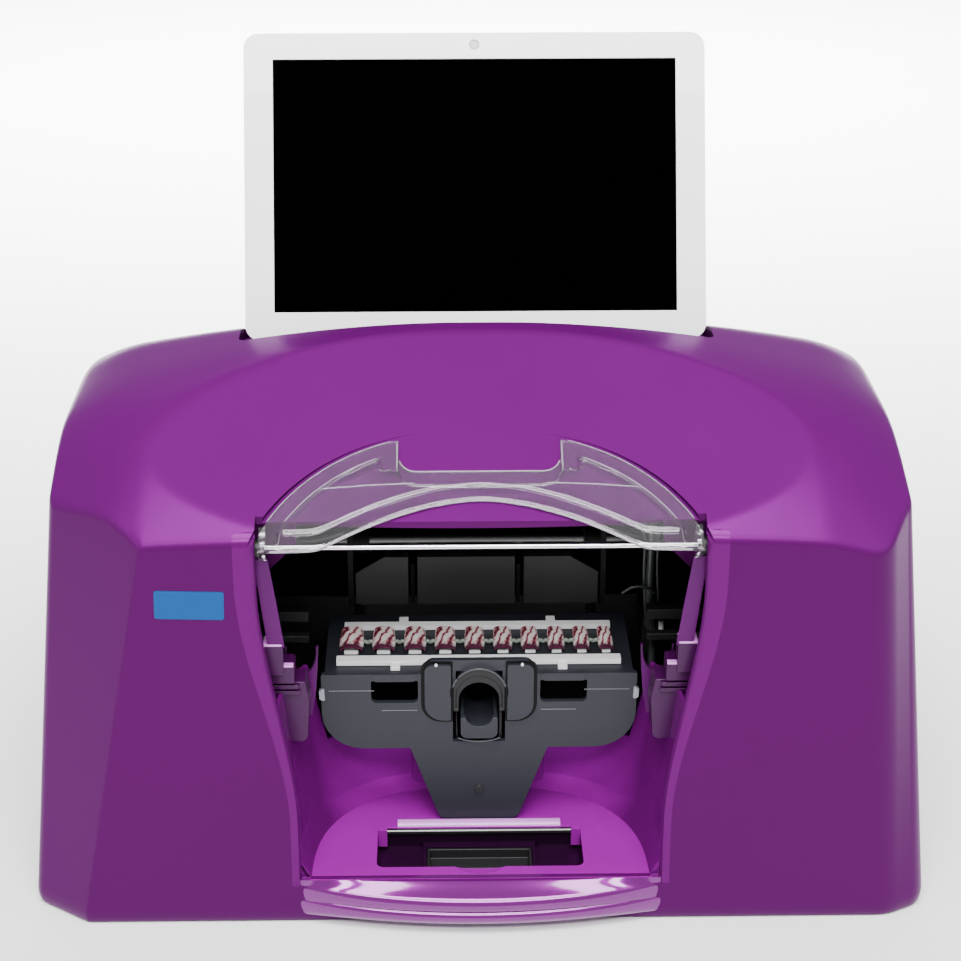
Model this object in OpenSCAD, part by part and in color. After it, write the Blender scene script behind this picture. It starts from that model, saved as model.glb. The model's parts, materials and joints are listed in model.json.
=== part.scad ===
// Desktop nail art printer with a tilting touch display.
// A lean-sided moulded casing with a domed top is scooped out over its front opening. Inside the
// opening a glossy niche holds the tray that carries nail tips and a sprung finger cup, and an
// inkjet carriage runs above it on two rods. All sizes are in millimetres.
// X runs to the right, Y to the back, Z up. The origin is on the table, under the middle.

/* [Casing] */
// Width of the casing at its foot
casing_w = 475; // [455:1:500]
// Distance from the middle to the front face at its foot
front_y = 199; // [196:0.5:204]
// Distance from the middle to the back face at its foot
back_y = 212; // [205:1:240]
// Height of the dome's crest above the table
crest_z = 286.4; // [280:0.2:300]
// Thickness of the moulded wall
wall = 3.5; // [2.5:0.1:4.5]
// Height of the rubber feet
foot_h = 3; // [2:0.5:6]
// Radius of the rubber feet
foot_r = 12; // [8:0.5:16]
// Thickness of the base pan
pan_t = 4; // [3:0.5:5]

/* [Opening and niche] */
// Half width of the front opening at its foot
opening_w_low = 90.7; // [85:0.1:94]
// Half width of the front opening at its top
opening_w_high = 112; // [106:0.5:114]
// Height of the niche floor above the table
floor_z = 26; // [24:0.5:30]
// Thickness of the niche moulding
liner_t = 2.5; // [1.5:0.1:3]
// Half width of the niche at its floor
liner_w = 94; // [92:0.5:97]
// Depth of the niche at its floor
liner_d = 90; // [84:0.5:94]
// Reach of the sill in front of the casing
sill_reach = 12.7; // [8:0.1:16]
// Half width of the slot in the niche floor
slot_w = 55; // [48:1:60]

/* [Visor] */
// Outer radius of the clear crescent
visor_r = 122; // [116:1:124]
// Thickness of the visor's plastic
visor_t = 2.4; // [1.6:0.1:3]
// Height of the visor's side wall
visor_h = 8; // [6:0.5:10]
// Radius of the steel hinge rod
rod_r = 2.25; // [1.5:0.05:2.5]

/* [Display] */
// Width of the display housing
display_w = 248.3; // [235:0.1:249]
// Thickness of the display housing
display_t = 12; // [10:0.5:12]
// Width of the glass that shows
glass_w = 217; // [200:1:222]
// Height of the glass that shows
glass_h = 136; // [120:1:140]
// Frame below and above the glass, together
glass_frame = 29; // [27:0.5:40]
// Lean of the display back from upright, in degrees
display_lean = 25; // [20:1:30]

/* [Tray] */
// Half width of the tray's front plate
tray_w = 84; // [80:0.5:85]
// Height of the tray's deck above the table
deck_z = 118.5; // [116:0.5:119.5]
// Thickness of the tray's walls
tray_t = 3; // [2:0.5:3.5]
// Radius of the two rails that the tray runs on
rail_r = 3; // [2.5:0.1:4]
// Number of nail tips in the rack
tip_count = 10; // [6:1:12]

/* [Print carriage] */
// Height of the carriage floor above the table
carriage_z = 126; // [126:0.5:130]
// Half width of the carriage between its side plates
carriage_w = 68; // [66:0.5:72]
// Radius of the guide rods
guide_r = 4; // [3:0.1:5]
// Wall of the plain bearings on the guide rods
bush_t = 1.4; // [1:0.1:2]
// Half distance between the chassis plates
chassis_w = 150; // [148:1:158]
// Thickness of the steel chassis plates
chassis_t = 1.5; // [1:0.1:2]
// Radius of the belt pulleys at the belt
pulley_r = 8; // [7:0.5:9]

/* [Hidden] */
$fn = 48;

gap = 0.3;          // clearance between pieces that move or lift past each other
fit = 0.05;         // radial clearance of a shaft in its bore
purple = [0.50, 0.16, 0.55];
bright_purple = [0.60, 0.09, 0.64];
charcoal = [0.28, 0.30, 0.32];
dark = [0.09, 0.09, 0.10];
steel = [0.72, 0.73, 0.75];
bare_white = [0.93, 0.92, 0.96];

// Casing corners at the foot, anticlockwise from the front left crease, and how far each has
// leaned inwards at lean_h above the foot edge. The left front corner is a sharp crease and the
// right one is round, as on the real moulding.
edge_z = foot_h + 5;
lean_h = 292;
foot_corners = [[29.5 - casing_w / 2, -front_y], [25.5 * -1 + casing_w / 2, -front_y],
    [casing_w / 2, 17 - front_y], [casing_w / 2 - 9.5, back_y], [9.5 - casing_w / 2, back_y],
    [-casing_w / 2, 23 - front_y]];
corner_lean = [[55.5, 20.8], [-16.7, 20.8], [-18.5, 41.6], [-19.4, -16.7], [19.4, -16.7], [21.7, 50]];
corner_r = [3, 30, 20, 40, 40, 12];
corner_steps = 6;

// Dome: the drop to the sides and to the ends is added as the two legs of a right triangle
dome_y = -55;
side_drop = 23.3;
side_span = 192;
shoulder_x = 179.4;
shoulder = 0.013;
front_drop = 67.5;
front_span = 129;
back_slope = 0.6;
back_round = 8;
dome_wall = wall * 1.25;

// Scoop over the opening: a very large sphere
scoop_r = 2144.5;
scoop_tilt = 31.3;
scoop_mid = [0, -110, 260.1];
scoop_c = scoop_mid + scoop_r * [0, -sin(scoop_tilt), cos(scoop_tilt)];
scoop_wall = wall * 1.1;

// Front opening and the lip above it
lip_y = -172;
curve_low = 70;
curve_high = 230;
sill_z = floor_z - liner_t - 0.8;

// Base pan and bosses
pan_z = foot_h;
deck0 = foot_h + pan_t;      // top of the base pan, where everything inside stands
foot_spots = [[-190, -140], [190, -140], [190, 150], [-190, 150]];
boss_r = 6;
boss_h = 22;
screw_r = 1.6;
screw_head_r = 3.8;
screw_head_h = 2;
boss_ys = [-110, 70];

// Niche
niche_y = -196;
niche_power = 2.6;
niche_flare = 11;            // widening of the niche over niche_h
niche_deepen = 4;
niche_h = 124;
back_wall_z = 62;
strip_z = 192;
post_z = 139;
scallop_r = 7.5;
pocket_front = -186;
pocket_back = -150;
bin_w = 28.4;
bin_back = -156;
bin_tab_w = 22;
bar_r = 1.5;
bar_y = pocket_back - 2.6;
bar_z = floor_z - 0.8;

// Visor: its shapes are drawn in the plane of the scoop's lip, u up the slope, n off it
visor_tilt = 30.5;
visor_at = [0, -186, 217];
visor_uc = -53;              // centre of the outer arc below the lip line
inner_uc = -94;
inner_r = 124;
visor_seat = -1.2;
notch_w = 41;
notch_u = 46.5;
notch_r = 9;
ear_in = 100;
ear_out = 108.4;
ear_r = 4.8;
rod_y = -176;
rod_z = 211.6;
rod_half = 118;
bush_r = rod_r + 1.75;
bracket_x = opening_w_high + 0.4;
bracket_t = 3;
boss_len = 6;
recess_r = visor_r + 6.5;

// Display
display_at = [0, -50, 272];
display_r = 8;
display_h = glass_h + glass_frame;
bezel_low = 15;
lip_t = 1.5;
bezel_t = 5;
panel_t = 3;
panel_rim = 4;
lens_r = 2.5;
lens_down = 6.5;
pin_r = 3;
pin_y = -36;
pin_z = 270;
knuckle_r = 6;
knuckle_w = 38;
ear_t = 5;
well_z = 262;
well_front = -61;
well_back = -20;
well_side = display_w / 2 + 2.85;
bracket_w = 52;
bracket_plate = 1.5;

// Tray
tray_front = -143;
tray_back = -78;
plate_low = 72.6;
tongue_low = 27;
tongue_w_top = 37;
tongue_w_low = 21;
window_in = 32.5;
window_out = 57.5;
window_low = 101;
window_high = 114.5;
shield_w = 29;
shield_t = 2.2;
arch_w = 14;
arch_z = 108.4;              // centre of the arch's round top
housing_z = 127;
hole_low = 76.5;
sleeve_x = 66;
sleeve_z = 104;
rail_start = -112;
cup_w = 10;
cup_low = 80;
cup_high = 93;
cup_back = -114;
ledge_z = 70;
spring_r = 4.5;
spring_wire = 0.8;
spring_turns = 3.5;
spring_y = -128;
rack_x = 76;
rack_front = -134;
rail_front_w = 11;
rack_back = -91;
rail_back_w = 6.5;
rack_t = 2.6;
tip_front = -122.7;
tip_back = -98;
tip_start = -68.5;
tip_end = 69;

// Carriage and chassis
car_front = -84;
car_back = -12;
front_rod_y = -72;
front_rod_z = 163;
rear_rod_y = 4;
rear_rod_z = 150;
boss_car_r = guide_r + bush_t + 2.4;
boss_car_len = 12;
chassis_front = -110;
chassis_end = 24;
chassis_top_z = 200;
belt_y = 14;
belt_w = 6;
belt_t = 1.2;
belt_z = 140;
belt_x = chassis_w - 22;
beam_y = -44;

// Rear panel
panel_y = 187;
panel_w = 111;
panel_low = 21;
panel_high = 113;
inlet_x = -80;
supply_x = 62.5 - casing_w / 2;
inlet_z = 44;
switch_z = 80;
switch_w = 9;
switch_h = 13;
fan_x = 55;
fan_z = 66;
fan_half = 30;
fan_d = 15;
blades = 7;

function unit(v) = v / norm(v);
function turn(d) = (d + 540) % 360 - 180;

// Points of a round corner of radius r at p, between the neighbours a and b
function corner_arc(a, p, b, r, n) =
    let (u = unit(a - p), w = unit(b - p), half = acos(u * w) / 2,
         c = p + unit(u + w) * r / sin(half),
         s = p + u * r / tan(half) - c, e = p + w * r / tan(half) - c,
         from = atan2(s.y, s.x), by = turn(atan2(e.y, e.x) - from))
    [for (i = [0:n]) c + r * [cos(from + by * i / n), sin(from + by * i / n)]];

// A polygon with its corners rounded, each by its own radius
function rounded(pts, radii, n) = let (m = len(pts))
    [for (i = [0:m - 1]) each corner_arc(pts[(i + m - 1) % m], pts[i], pts[(i + 1) % m], radii[i], n)];

// Corners of a polygon moved inwards by d, its edges kept parallel
function inward(pts, d) = let (m = len(pts))
    [for (i = [0:m - 1])
        let (u = unit(pts[i] - pts[(i + m - 1) % m]), w = unit(pts[(i + 1) % m] - pts[i]),
             nu = [-u.y, u.x], nw = [-w.y, w.x])
        pts[i] + (nu + nw) * d / (1 + nu * nw)];

// Outline of the casing at height z, moved inwards by d
function casing_ring(z, d) =
    let (t = (z - edge_z) / lean_h,
         pts = [for (i = [0:5]) foot_corners[i] + corner_lean[i] * t])
    rounded(inward(pts, d), [for (r = corner_r) max(r - d, 0.8)], corner_steps);

// Face of the casing at height z: the front face, and the left or right side at y
function face_y(z) = -front_y + corner_lean[0].y * (z - edge_z) / lean_h;
function side_x(y) = casing_w / 2 - 9.5 * (y + front_y - 20) / (back_y + front_y - 20);

// Height of the dome and of the scoop over x, y
function drop_x(x) = side_drop * pow(x / side_span, 2) + shoulder * pow(max(0, abs(x) - shoulder_x), 2);
function drop_y(y) = y < dome_y ? front_drop * pow((dome_y - y) / front_span, 1.8)
    : back_slope * (norm([y - dome_y, back_round]) - back_round);
function dome_z(x, y) = crest_z - norm([drop_x(x), drop_y(y)]);
function scoop_z(x, y) = scoop_c.z - sqrt(pow(scoop_r, 2) - x * x - pow(y - scoop_c.y, 2));

function steps(from, to, n) = [for (i = [0:n]) from + (to - from) * i / n];
function smooth(t) = let (k = max(0, min(1, t))) k * k * (3 - 2 * k);
function opening_w(z) = opening_w_low
    + (opening_w_high - opening_w_low) * smooth((z - curve_low) / (curve_high - curve_low));

// Solid that joins one outline after another, each at its own height
module loft(rings, heights) {
    n = len(rings[0]);
    m = len(rings);
    polyhedron([for (k = [0:m - 1]) for (p = rings[k]) [p.x, p.y, heights[k]]],
        concat([for (k = [0:m - 2]) for (i = [0:n - 1]) let (a = k * n, b = a + n, j = (i + 1) % n)
                each [[a + j, a + i, b + i], [a + j, b + i, b + j]]],
            [[for (i = [0:n - 1]) i], [for (i = [n - 1:-1:0]) (m - 1) * n + i]]));
}

// Solid between two height fields over a grid of x and y
module between(xs, ys, low, high) {
    nx = len(xs);
    ny = len(ys);
    top = nx * ny;
    edge = concat([for (i = [0:nx - 1]) i * ny], [for (j = [1:ny - 1]) (nx - 1) * ny + j],
        [for (i = [nx - 2:-1:0]) i * ny + ny - 1], [for (j = [ny - 2:-1:1]) j]);
    ne = len(edge);
    polyhedron(concat([for (x = xs) for (y = ys) [x, y, low[search(x, xs)[0]][search(y, ys)[0]]]],
            [for (x = xs) for (y = ys) [x, y, high[search(x, xs)[0]][search(y, ys)[0]]]]),
        concat([for (i = [0:nx - 2]) for (j = [0:ny - 2])
                let (a = i * ny + j, b = a + ny, c = b + 1, d = a + 1)
                each [[a, b, c], [a, c, d], [top + a, top + c, top + b], [top + a, top + d, top + c]]],
            [for (k = [0:ne - 1]) let (a = edge[k], b = edge[(k + 1) % ne])
                each [[b, a, top + a], [b, top + a, top + b]]]));
}

// Flat outline drawn as x and height, standing in the plane y, thick towards the back
module upright(y, t) {
    translate([0, y + t, 0]) rotate([90, 0, 0]) linear_extrude(t) children();
}

// Side outline drawn as y and height, thick from x to x + t
module sideways(x, t) {
    translate([x, 0, 0]) rotate([90, 0, 90]) linear_extrude(t) children();
}

// Round bar or bore along X, along Y and along Z
module x_bar(x, y, z, r, len) { translate([x, y, z]) rotate([0, 90, 0]) cylinder(r = r, h = len); }
module y_bar(x, y, z, r, len) { translate([x, y + len, z]) rotate([90, 0, 0]) cylinder(r = r, h = len); }
module block(from, to) { translate(from) cube(to - from); }
module both_sides() {
    children();
    mirror([1, 0, 0]) children();
}
module round_rect(w, h, r) {
    polygon(rounded([[-w / 2, -h / 2], [w / 2, -h / 2], [w / 2, h / 2], [-w / 2, h / 2]],
        [r, r, r, r], corner_steps));
}
module in_visor() { translate(visor_at) rotate([visor_tilt, 0, 0]) children(); }
module in_display() { translate(display_at) rotate([-display_lean, 0, 0]) children(); }

// ---- Casing ----

// Everything under the dome and inside the leaning sides, moved inwards by d
module casing_solid(d, lower, scoop_d, low_z) {
    xs = steps(-casing_w / 2 - 10, casing_w / 2 + 10, 36);
    ys = steps(-front_y - 12, back_y + 10, 30);
    sx = steps(-208, 208, 24);
    sy = steps(-front_y - 12, -40, 14);
    difference() {
        intersection() {
            if (d == 0)
                loft([casing_ring(foot_h, 2), casing_ring(edge_z, 0), casing_ring(edge_z + lean_h, 0)],
                    [foot_h, edge_z, edge_z + lean_h]);
            else
                loft([casing_ring(low_z, d), casing_ring(edge_z + lean_h, d)], [low_z, edge_z + lean_h]);
            between(xs, ys, [for (x = xs) [for (y = ys) -20]],
                [for (x = xs) [for (y = ys) dome_z(x, y) - lower]]);
        }
        between(sx, sy, [for (x = sx) [for (y = sy) scoop_z(x, y) - scoop_d]],
            [for (x = sx) [for (y = sy) crest_z + 90]]);
    }
}

// Front opening as x and height
module opening_shape() {
    zs = steps(sill_z, 240, 24);
    polygon(concat([for (z = zs) [opening_w(z), z]], [[opening_w_high, 320], [-opening_w_high, 320]],
        [for (i = [24:-1:0]) [-opening_w(zs[i]), zs[i]]]));
}

module well(grow) {
    translate([0, (well_front + well_back) / 2, well_z - grow])
        linear_extrude(60) round_rect(2 * (well_side + grow), well_back - well_front + 2 * grow, 4 + grow);
}

module shell() {
    color(purple)
    resize([0, 0, 0]) difference() {
        casing_solid(0, 0, 0, 0);
        difference() {
            casing_solid(wall, dome_wall, scoop_wall, -1);
            well(wall);
            block([-panel_w - wall, panel_y + 3, panel_low - wall], [panel_w + wall, back_y + 5, panel_high + wall]);
            both_sides() for (y = boss_ys) hull() {
                translate([side_x(y) - wall - boss_r, y, deck0 + gap]) cylinder(r = boss_r, h = boss_h, $fn = 24);
                translate([side_x(y) - wall + 2, y, deck0 + gap]) cylinder(r = boss_r - 1, h = boss_h, $fn = 24);
            }
        }
        well(0);
        in_visor() translate([0, visor_uc, visor_seat - 0.2]) cylinder(r = recess_r, h = 40, $fn = 90);
        translate([0, lip_y, 0]) rotate([90, 0, 0]) linear_extrude(70) opening_shape();
        block([-panel_w, panel_y - 5, panel_low], [panel_w, back_y + 5, panel_high]);
        both_sides() for (y = boss_ys) translate([side_x(y) - wall - boss_r, y, -1])
            cylinder(r = screw_r + 0.2, h = boss_h + 5, $fn = 16);
    }
}

module base_pan() {
    color(dark) difference() {
        translate([0, 0, pan_z]) linear_extrude(pan_t) polygon(casing_ring(pan_z, wall + 0.5));
        for (s = foot_spots) translate([s.x, s.y, pan_z - 1]) cylinder(r = 3.1, h = pan_t + 2);
        both_sides() for (y = boss_ys) translate([side_x(y) - wall - boss_r, y, pan_z - 1]) {
            cylinder(r = screw_r + 0.3, h = pan_t + 2);
            cylinder(r = screw_head_r + gap, h = screw_head_h + 1.2);
        }
    }
}

module feet() {
    color(dark) for (s = foot_spots) translate(s) {
        cylinder(r = foot_r, h = foot_h);
        cylinder(r = 3, h = foot_h + pan_t - 0.5);
    }
}

module shell_screws() {
    color(steel) both_sides() for (y = boss_ys) translate([side_x(y) - wall - boss_r, y, pan_z + 0.2]) {
        cylinder(r = screw_head_r, h = screw_head_h - 0.1);
        cylinder(r = screw_r, h = boss_h - 4);
    }
}

// ---- Niche ----

// Half outline of the niche at height z as a superellipse, with its front carried to y
function niche_ring(z, grow, front) =
    let (t = (z - floor_z) / niche_h, a = liner_w + niche_flare * t + grow,
         b = liner_d + niche_deepen * t + grow, n = 22)
    concat([[-a, front], [a, front]],
        [for (i = [0:n]) let (q = 180 * i / n)
            [a * sign(cos(q)) * pow(abs(cos(q)), 2 / niche_power),
             niche_y + b * pow(abs(sin(q)), 2 / niche_power)]]);

// Outline of a bowed sill: a chord at y, with an arc that reaches out in front of it
function bow(w, y, reach, n) = let (r = (w * w + reach * reach) / (2 * reach), q = asin(w / r))
    concat([for (i = [0:n]) let (a = -q + 2 * q * i / n) [r * sin(a), y - reach + r * (1 - cos(a))]],
        [[w, y + 0.2], [-w, y + 0.2]]);

// Side view of the niche's upper edge: strip, ledge, scallop, post and the low back wall
function liner_profile() =
    let (sc = [-151.5, post_z - 9])
    concat([[-240, 0], [-240, strip_z], [-181, strip_z], [-173, 152], [-163, 143], [sc.x - scallop_r, 143]],
        [for (i = [0:8]) sc + scallop_r * [-cos(180 * i / 8), -sin(180 * i / 8)]],
        [[sc.x + scallop_r, post_z], [-139.5, post_z], [-139.5, back_wall_z], [-60, back_wall_z], [-60, 0]]);

module niche_liner() {
    zs = [floor_z - liner_t, 60, 100, 150, strip_z];
    in_zs = [floor_z, 60, 100, 150, strip_z + 1];
    sill_y = face_y(floor_z - 4) - 0.8;
    apron_y = -front_y - gap;
    color(bright_purple) resize([0, 0, 0]) difference() {
        union() {
            difference() {
                intersection() {
                    loft([for (z = zs) niche_ring(z, liner_t, niche_y)], zs);
                    sideways(-150, 300) polygon(liner_profile());
                }
                loft([for (z = in_zs) niche_ring(z, 0, -240)], in_zs);
                sideways(-150, 300) polygon([[-260, -5], [face_y(-5) + wall + gap, -5],
                    [face_y(250) + wall + gap, 250], [-260, 250]]);
            }
            block([-opening_w_low + gap, -front_y - 0.5, floor_z - liner_t], [opening_w_low - gap, -185, floor_z]);
            translate([0, 0, 19]) linear_extrude(floor_z - 19) polygon(bow(93, sill_y, 8.8, 16));
            loft([bow(96, apron_y, 7, 16), bow(98, apron_y, sill_reach, 16), bow(98, apron_y, sill_reach, 16)],
                [edge_z - 3, edge_z + 3, 19]);
            block([-slot_w - 2, pocket_front - 2, deck0 + gap], [slot_w + 2, pocket_back + 2, floor_z - 1]);
            difference() {
                loft([for (z = [floor_z - liner_t, floor_z]) niche_ring(z, -0.5, niche_y)],
                    [floor_z - liner_t, floor_z]);
                block([-120, -240, 0], [120, -190, 60]);
            }
        }
        block([-bin_w - gap, pocket_front, deck0 + 2], [bin_w + gap, bin_back + gap, floor_z + 1]);
        both_sides() block([bin_w + 2, pocket_front, 14], [slot_w, pocket_back, floor_z + 1]);
        block([-slot_w, pocket_front, 17], [slot_w, pocket_back, floor_z + 1]);
        translate([0, pocket_front + 11, floor_z - 1.4]) cylinder(r = 17.5, h = 4, $fn = 40);
    }
}

module slot_bar() {
    color(steel) x_bar(-slot_w + 1, bar_y, bar_z, bar_r, 2 * slot_w - 2);
}

module bar_clips() {
    color(bright_purple) both_sides() difference() {
        block([slot_w - 5, bar_y - 2.4, 17], [slot_w - 0.1, bar_y + 2.4, floor_z + 1.6]);
        x_bar(slot_w - 6, bar_y, bar_z, bar_r + fit, 7);
    }
}

module accessory_bin() {
    z0 = deck0 + 2 + gap;
    color(charcoal) union() {
        difference() {
            block([-bin_w, pocket_front + gap, z0], [bin_w, bin_back, 16.5]);
            block([-bin_w + 1.6, pocket_front + gap + 3, z0 + 1.6], [bin_w - 1.6, bin_back - 1.6, 17]);
        }
        upright(pocket_front + gap, 3) polygon(rounded([[-bin_tab_w, z0], [bin_tab_w, z0],
            [bin_tab_w - 3, floor_z - 1.5], [3 - bin_tab_w, floor_z - 1.5]], [0.5, 0.5, 4, 4], 5));
    }
}

// ---- Visor ----

// Crescent between the outer and inner arcs, moved inwards by d
module crescent(d) {
    difference() {
        translate([0, visor_uc]) circle(r = visor_r - d);
        translate([0, inner_uc]) circle(r = inner_r + d);
        translate([-150, -200]) square([300, 197 + d]);
        difference() {
            translate([-notch_w - d, notch_u - d]) square([2 * (notch_w + d), 60]);
            for (s = [-1, 1]) translate([s * (notch_w + d - notch_r / 2), notch_u - d + notch_r / 2])
                difference() {
                    translate([-notch_r / 2, -notch_r / 2]) square(notch_r);
                    translate([-s * notch_r / 2, notch_r / 2]) circle(r = notch_r);
                }
        }
    }
}

module visor() {
    arm = rod_y - visor_at.y;
    color([0.85, 0.86, 0.9, 0.4]) union() {
        in_visor() translate([0, 0, visor_seat + 0.2]) difference() {
            linear_extrude(visor_h) intersection() {
                crescent(0);
                square([2 * ear_out, 400], center = true);
            }
            translate([0, 0, -1]) linear_extrude(visor_h - visor_t + 1) crescent(visor_t);
        }
        both_sides() difference() {
            union() {
                x_bar(ear_in, rod_y, rod_z, ear_r, ear_out - ear_in);
                sideways(ear_in, ear_out - ear_in) polygon([[rod_y + 3.6, rod_z - 3.2], [rod_y + 4.4, rod_z + 2],
                    [rod_y - arm * 0.62, visor_at.z + 9.5], [rod_y - arm * 1.15, visor_at.z + 6],
                    [rod_y - arm * 1.22, visor_at.z - 1.5], [rod_y - 4.2, rod_z - 2.4]]);
            }
            x_bar(ear_in - 1, rod_y, rod_z, rod_r + fit, ear_out - ear_in + 2);
        }
    }
}

module visor_rod() { color(steel) x_bar(-rod_half, rod_y, rod_z, rod_r, 2 * rod_half); }

module visor_brackets() {
    color(purple) both_sides() difference() {
        union() {
            sideways(bracket_x, bracket_t) polygon([[-180.3, 198], [-180.3, 213.4], [-149, 231.8], [-149, 184], [-165, 184]]);
            x_bar(bracket_x, rod_y, rod_z, bush_r + 1.6 - 0.9, boss_len);
            upright(-152, 3) polygon([[bracket_x + 1, 184], [110, 184.5], [93.6, 201.2], [93.6, 222], [bracket_x + 1, 222]]);
        }
        x_bar(bracket_x - 1, rod_y, rod_z, bush_r + fit, boss_len + 2);
    }
}

module visor_bushes() {
    color(dark) both_sides() difference() {
        union() {
            x_bar(bracket_x, rod_y, rod_z, bush_r, boss_len);
            x_bar(ear_out + gap, rod_y, rod_z, bush_r + 0.6, bracket_x - ear_out - gap);
        }
        x_bar(ear_out, rod_y, rod_z, rod_r + fit, bracket_x);
    }
}

// ---- Display ----

module display_outline(d) {
    translate([0, display_h / 2]) round_rect(display_w - 2 * d, display_h - 2 * d, display_r - d / 2);
}

module display_bezel() {
    color(bare_white) in_display() difference() {
        upright(0, bezel_t) display_outline(0);
        upright(-1, bezel_t) translate([0, bezel_low + glass_h / 2]) square([glass_w, glass_h], center = true);
        upright(lip_t, bezel_t) translate([0, bezel_low + glass_h / 2])
            square([glass_w + 2 * panel_rim + gap, glass_h + 2 * panel_rim + gap], center = true);
        y_bar(0, -1, display_h - lens_down, lens_r + 0.1, 2);
        y_bar(0, 0.6, display_h - lens_down, lens_r - 0.6, 6);
    }
}

module screen_panel() {
    color(dark) in_display() upright(lip_t, panel_t) translate([0, bezel_low + glass_h / 2])
        square([glass_w + 2 * panel_rim, glass_h + 2 * panel_rim], center = true);
}

module camera_lens() {
    color(dark) in_display() y_bar(0, 0.3, display_h - lens_down, lens_r, 0.7);
}

module display_back() {
    c = display_at;
    ly = (pin_y - c.y) * cos(display_lean) - (pin_z - c.z) * sin(display_lean);
    lz = (pin_y - c.y) * sin(display_lean) + (pin_z - c.z) * cos(display_lean);
    color(bare_white) difference() {
        union() {
            in_display() upright(bezel_t, display_t - bezel_t - 2) display_outline(0);
            in_display() upright(display_t - 2, 2) display_outline(2);
            in_display() upright(display_t, 5) translate([0, 75]) round_rect(150, 84, 8);
            x_bar(-knuckle_w, pin_y, pin_z, knuckle_r, 2 * knuckle_w);
            in_display() block([-knuckle_w, display_t - 3, lz - 2], [knuckle_w, ly, lz + knuckle_r]);
        }
        x_bar(-knuckle_w - 1, pin_y, pin_z, pin_r + fit, 2 * knuckle_w + 2);
        both_sides() x_bar(knuckle_w, pin_y, pin_z, knuckle_r + gap, ear_t + 3);
        in_display() for (i = [-4:4]) upright(display_t + 4, 3) translate([i * 12, 75]) square([3, 52], center = true);
    }
}

module hinge_bracket() {
    color(dark) difference() {
        union() {
            block([-bracket_w, pin_y - 14, well_z], [bracket_w, pin_y + 13, well_z + bracket_plate]);
            both_sides() {
                x_bar(knuckle_w + gap, pin_y, pin_z, knuckle_r, ear_t);
                block([knuckle_w + gap, pin_y - 1, well_z], [knuckle_w + gap + ear_t, pin_y + knuckle_r, pin_z]);
            }
        }
        x_bar(-bracket_w, pin_y, pin_z, pin_r + fit, 2 * bracket_w);
    }
}

module hinge_pin() { color(steel) x_bar(-knuckle_w - 7, pin_y, pin_z, pin_r, 2 * knuckle_w + 14); }

// ---- Tray ----

module tray_plate_shape() {
    difference() {
        union() {
            polygon(rounded([[-tray_w, deck_z], [-tray_w, plate_low], [tray_w, plate_low], [tray_w, deck_z]],
                [1, 22, 22, 1], corner_steps));
            polygon(rounded([[-tongue_w_top, plate_low + 4], [-tongue_w_top, plate_low],
                [-tongue_w_low, tongue_low], [tongue_w_low, tongue_low],
                [tongue_w_top, plate_low], [tongue_w_top, plate_low + 4]], [0.5, 4, 5, 5, 4, 0.5], corner_steps));
            polygon(rounded([[-shield_w, deck_z - 2], [shield_w, deck_z - 2], [shield_w, housing_z],
                [-shield_w, housing_z]], [0.5, 0.5, 5, 5], corner_steps));
        }
        both_sides() polygon(rounded([[window_in, window_low], [window_out, window_low],
            [window_out, window_high], [window_in, window_high]], [3, 3, 1, 1], corner_steps));
        translate([0, arch_z]) circle(r = arch_w);
        translate([-arch_w, hole_low]) square([2 * arch_w, arch_z - hole_low]);
        both_sides() translate([tray_w + 1, 106]) circle(r = 2.4);
        translate([0, 46.4]) circle(r = 1.6);
    }
}

module tray_body() {
    under = deck_z - tray_t;
    color(charcoal) difference() {
        union() {
            upright(tray_front, tray_t) tray_plate_shape();
            both_sides() upright(tray_front - shield_t, shield_t) difference() {
                polygon(rounded([[arch_w + 1, 91], [shield_w, 91], [shield_w, housing_z - 2],
                    [arch_w + 1, housing_z - 2]], [1, 10, 4, 1], corner_steps));
                translate([0, arch_z]) circle(r = arch_w + 1.5);
            }
            block([-tray_w + 2, tray_front + 1, under], [tray_w - 2, tray_back, deck_z]);
            both_sides() block([tray_w - 5, tray_front + 1, 98], [tray_w - 2, tray_back, deck_z - 1]);
            both_sides() block([sleeve_x - 6, tray_front + 7, sleeve_z - 6], [sleeve_x + 6, tray_back - 4, deck_z - 1]);
            both_sides() block([arch_w + 0.3, tray_front + 1, ledge_z - 3], [arch_w + 2.8, -111, deck_z - 1]);
            block([-arch_w - 1, tray_front + 1, ledge_z - 3], [arch_w + 1, -111, ledge_z]);
            y_bar(0, tray_front + 2, 46.4, 4, 4);
        }
        both_sides() y_bar(sleeve_x, tray_front + 5, sleeve_z, rail_r + fit, 70);
        y_bar(0, tray_front - 1, 46.4, 1.6, 8);
        block([-12.4, tray_front - 1, under - 1], [12.4, tray_front + 6, arch_z + 12]);
    }
}

module arch_outline(w, top_z, low) {
    translate([0, top_z]) circle(r = w);
    translate([-w, low]) square([2 * w, top_z - low]);
}

module finger_arch() {
    w = cup_w + 0.7;
    color(dark) difference() {
        union() {
            upright(tray_front + 0.4, 5) arch_outline(arch_w - 0.1, arch_z - 0.1, cup_high + 2);
            upright(tray_front + 4, 28) arch_outline(w + 1.8, 101, ledge_z + 0.2);
        }
        upright(tray_front - 1, 40) arch_outline(w, 101, ledge_z + 1);
        upright(tray_front - 1, 3) arch_outline(w + 1.6, arch_z - 4, cup_high + 4);
    }
}

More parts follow.
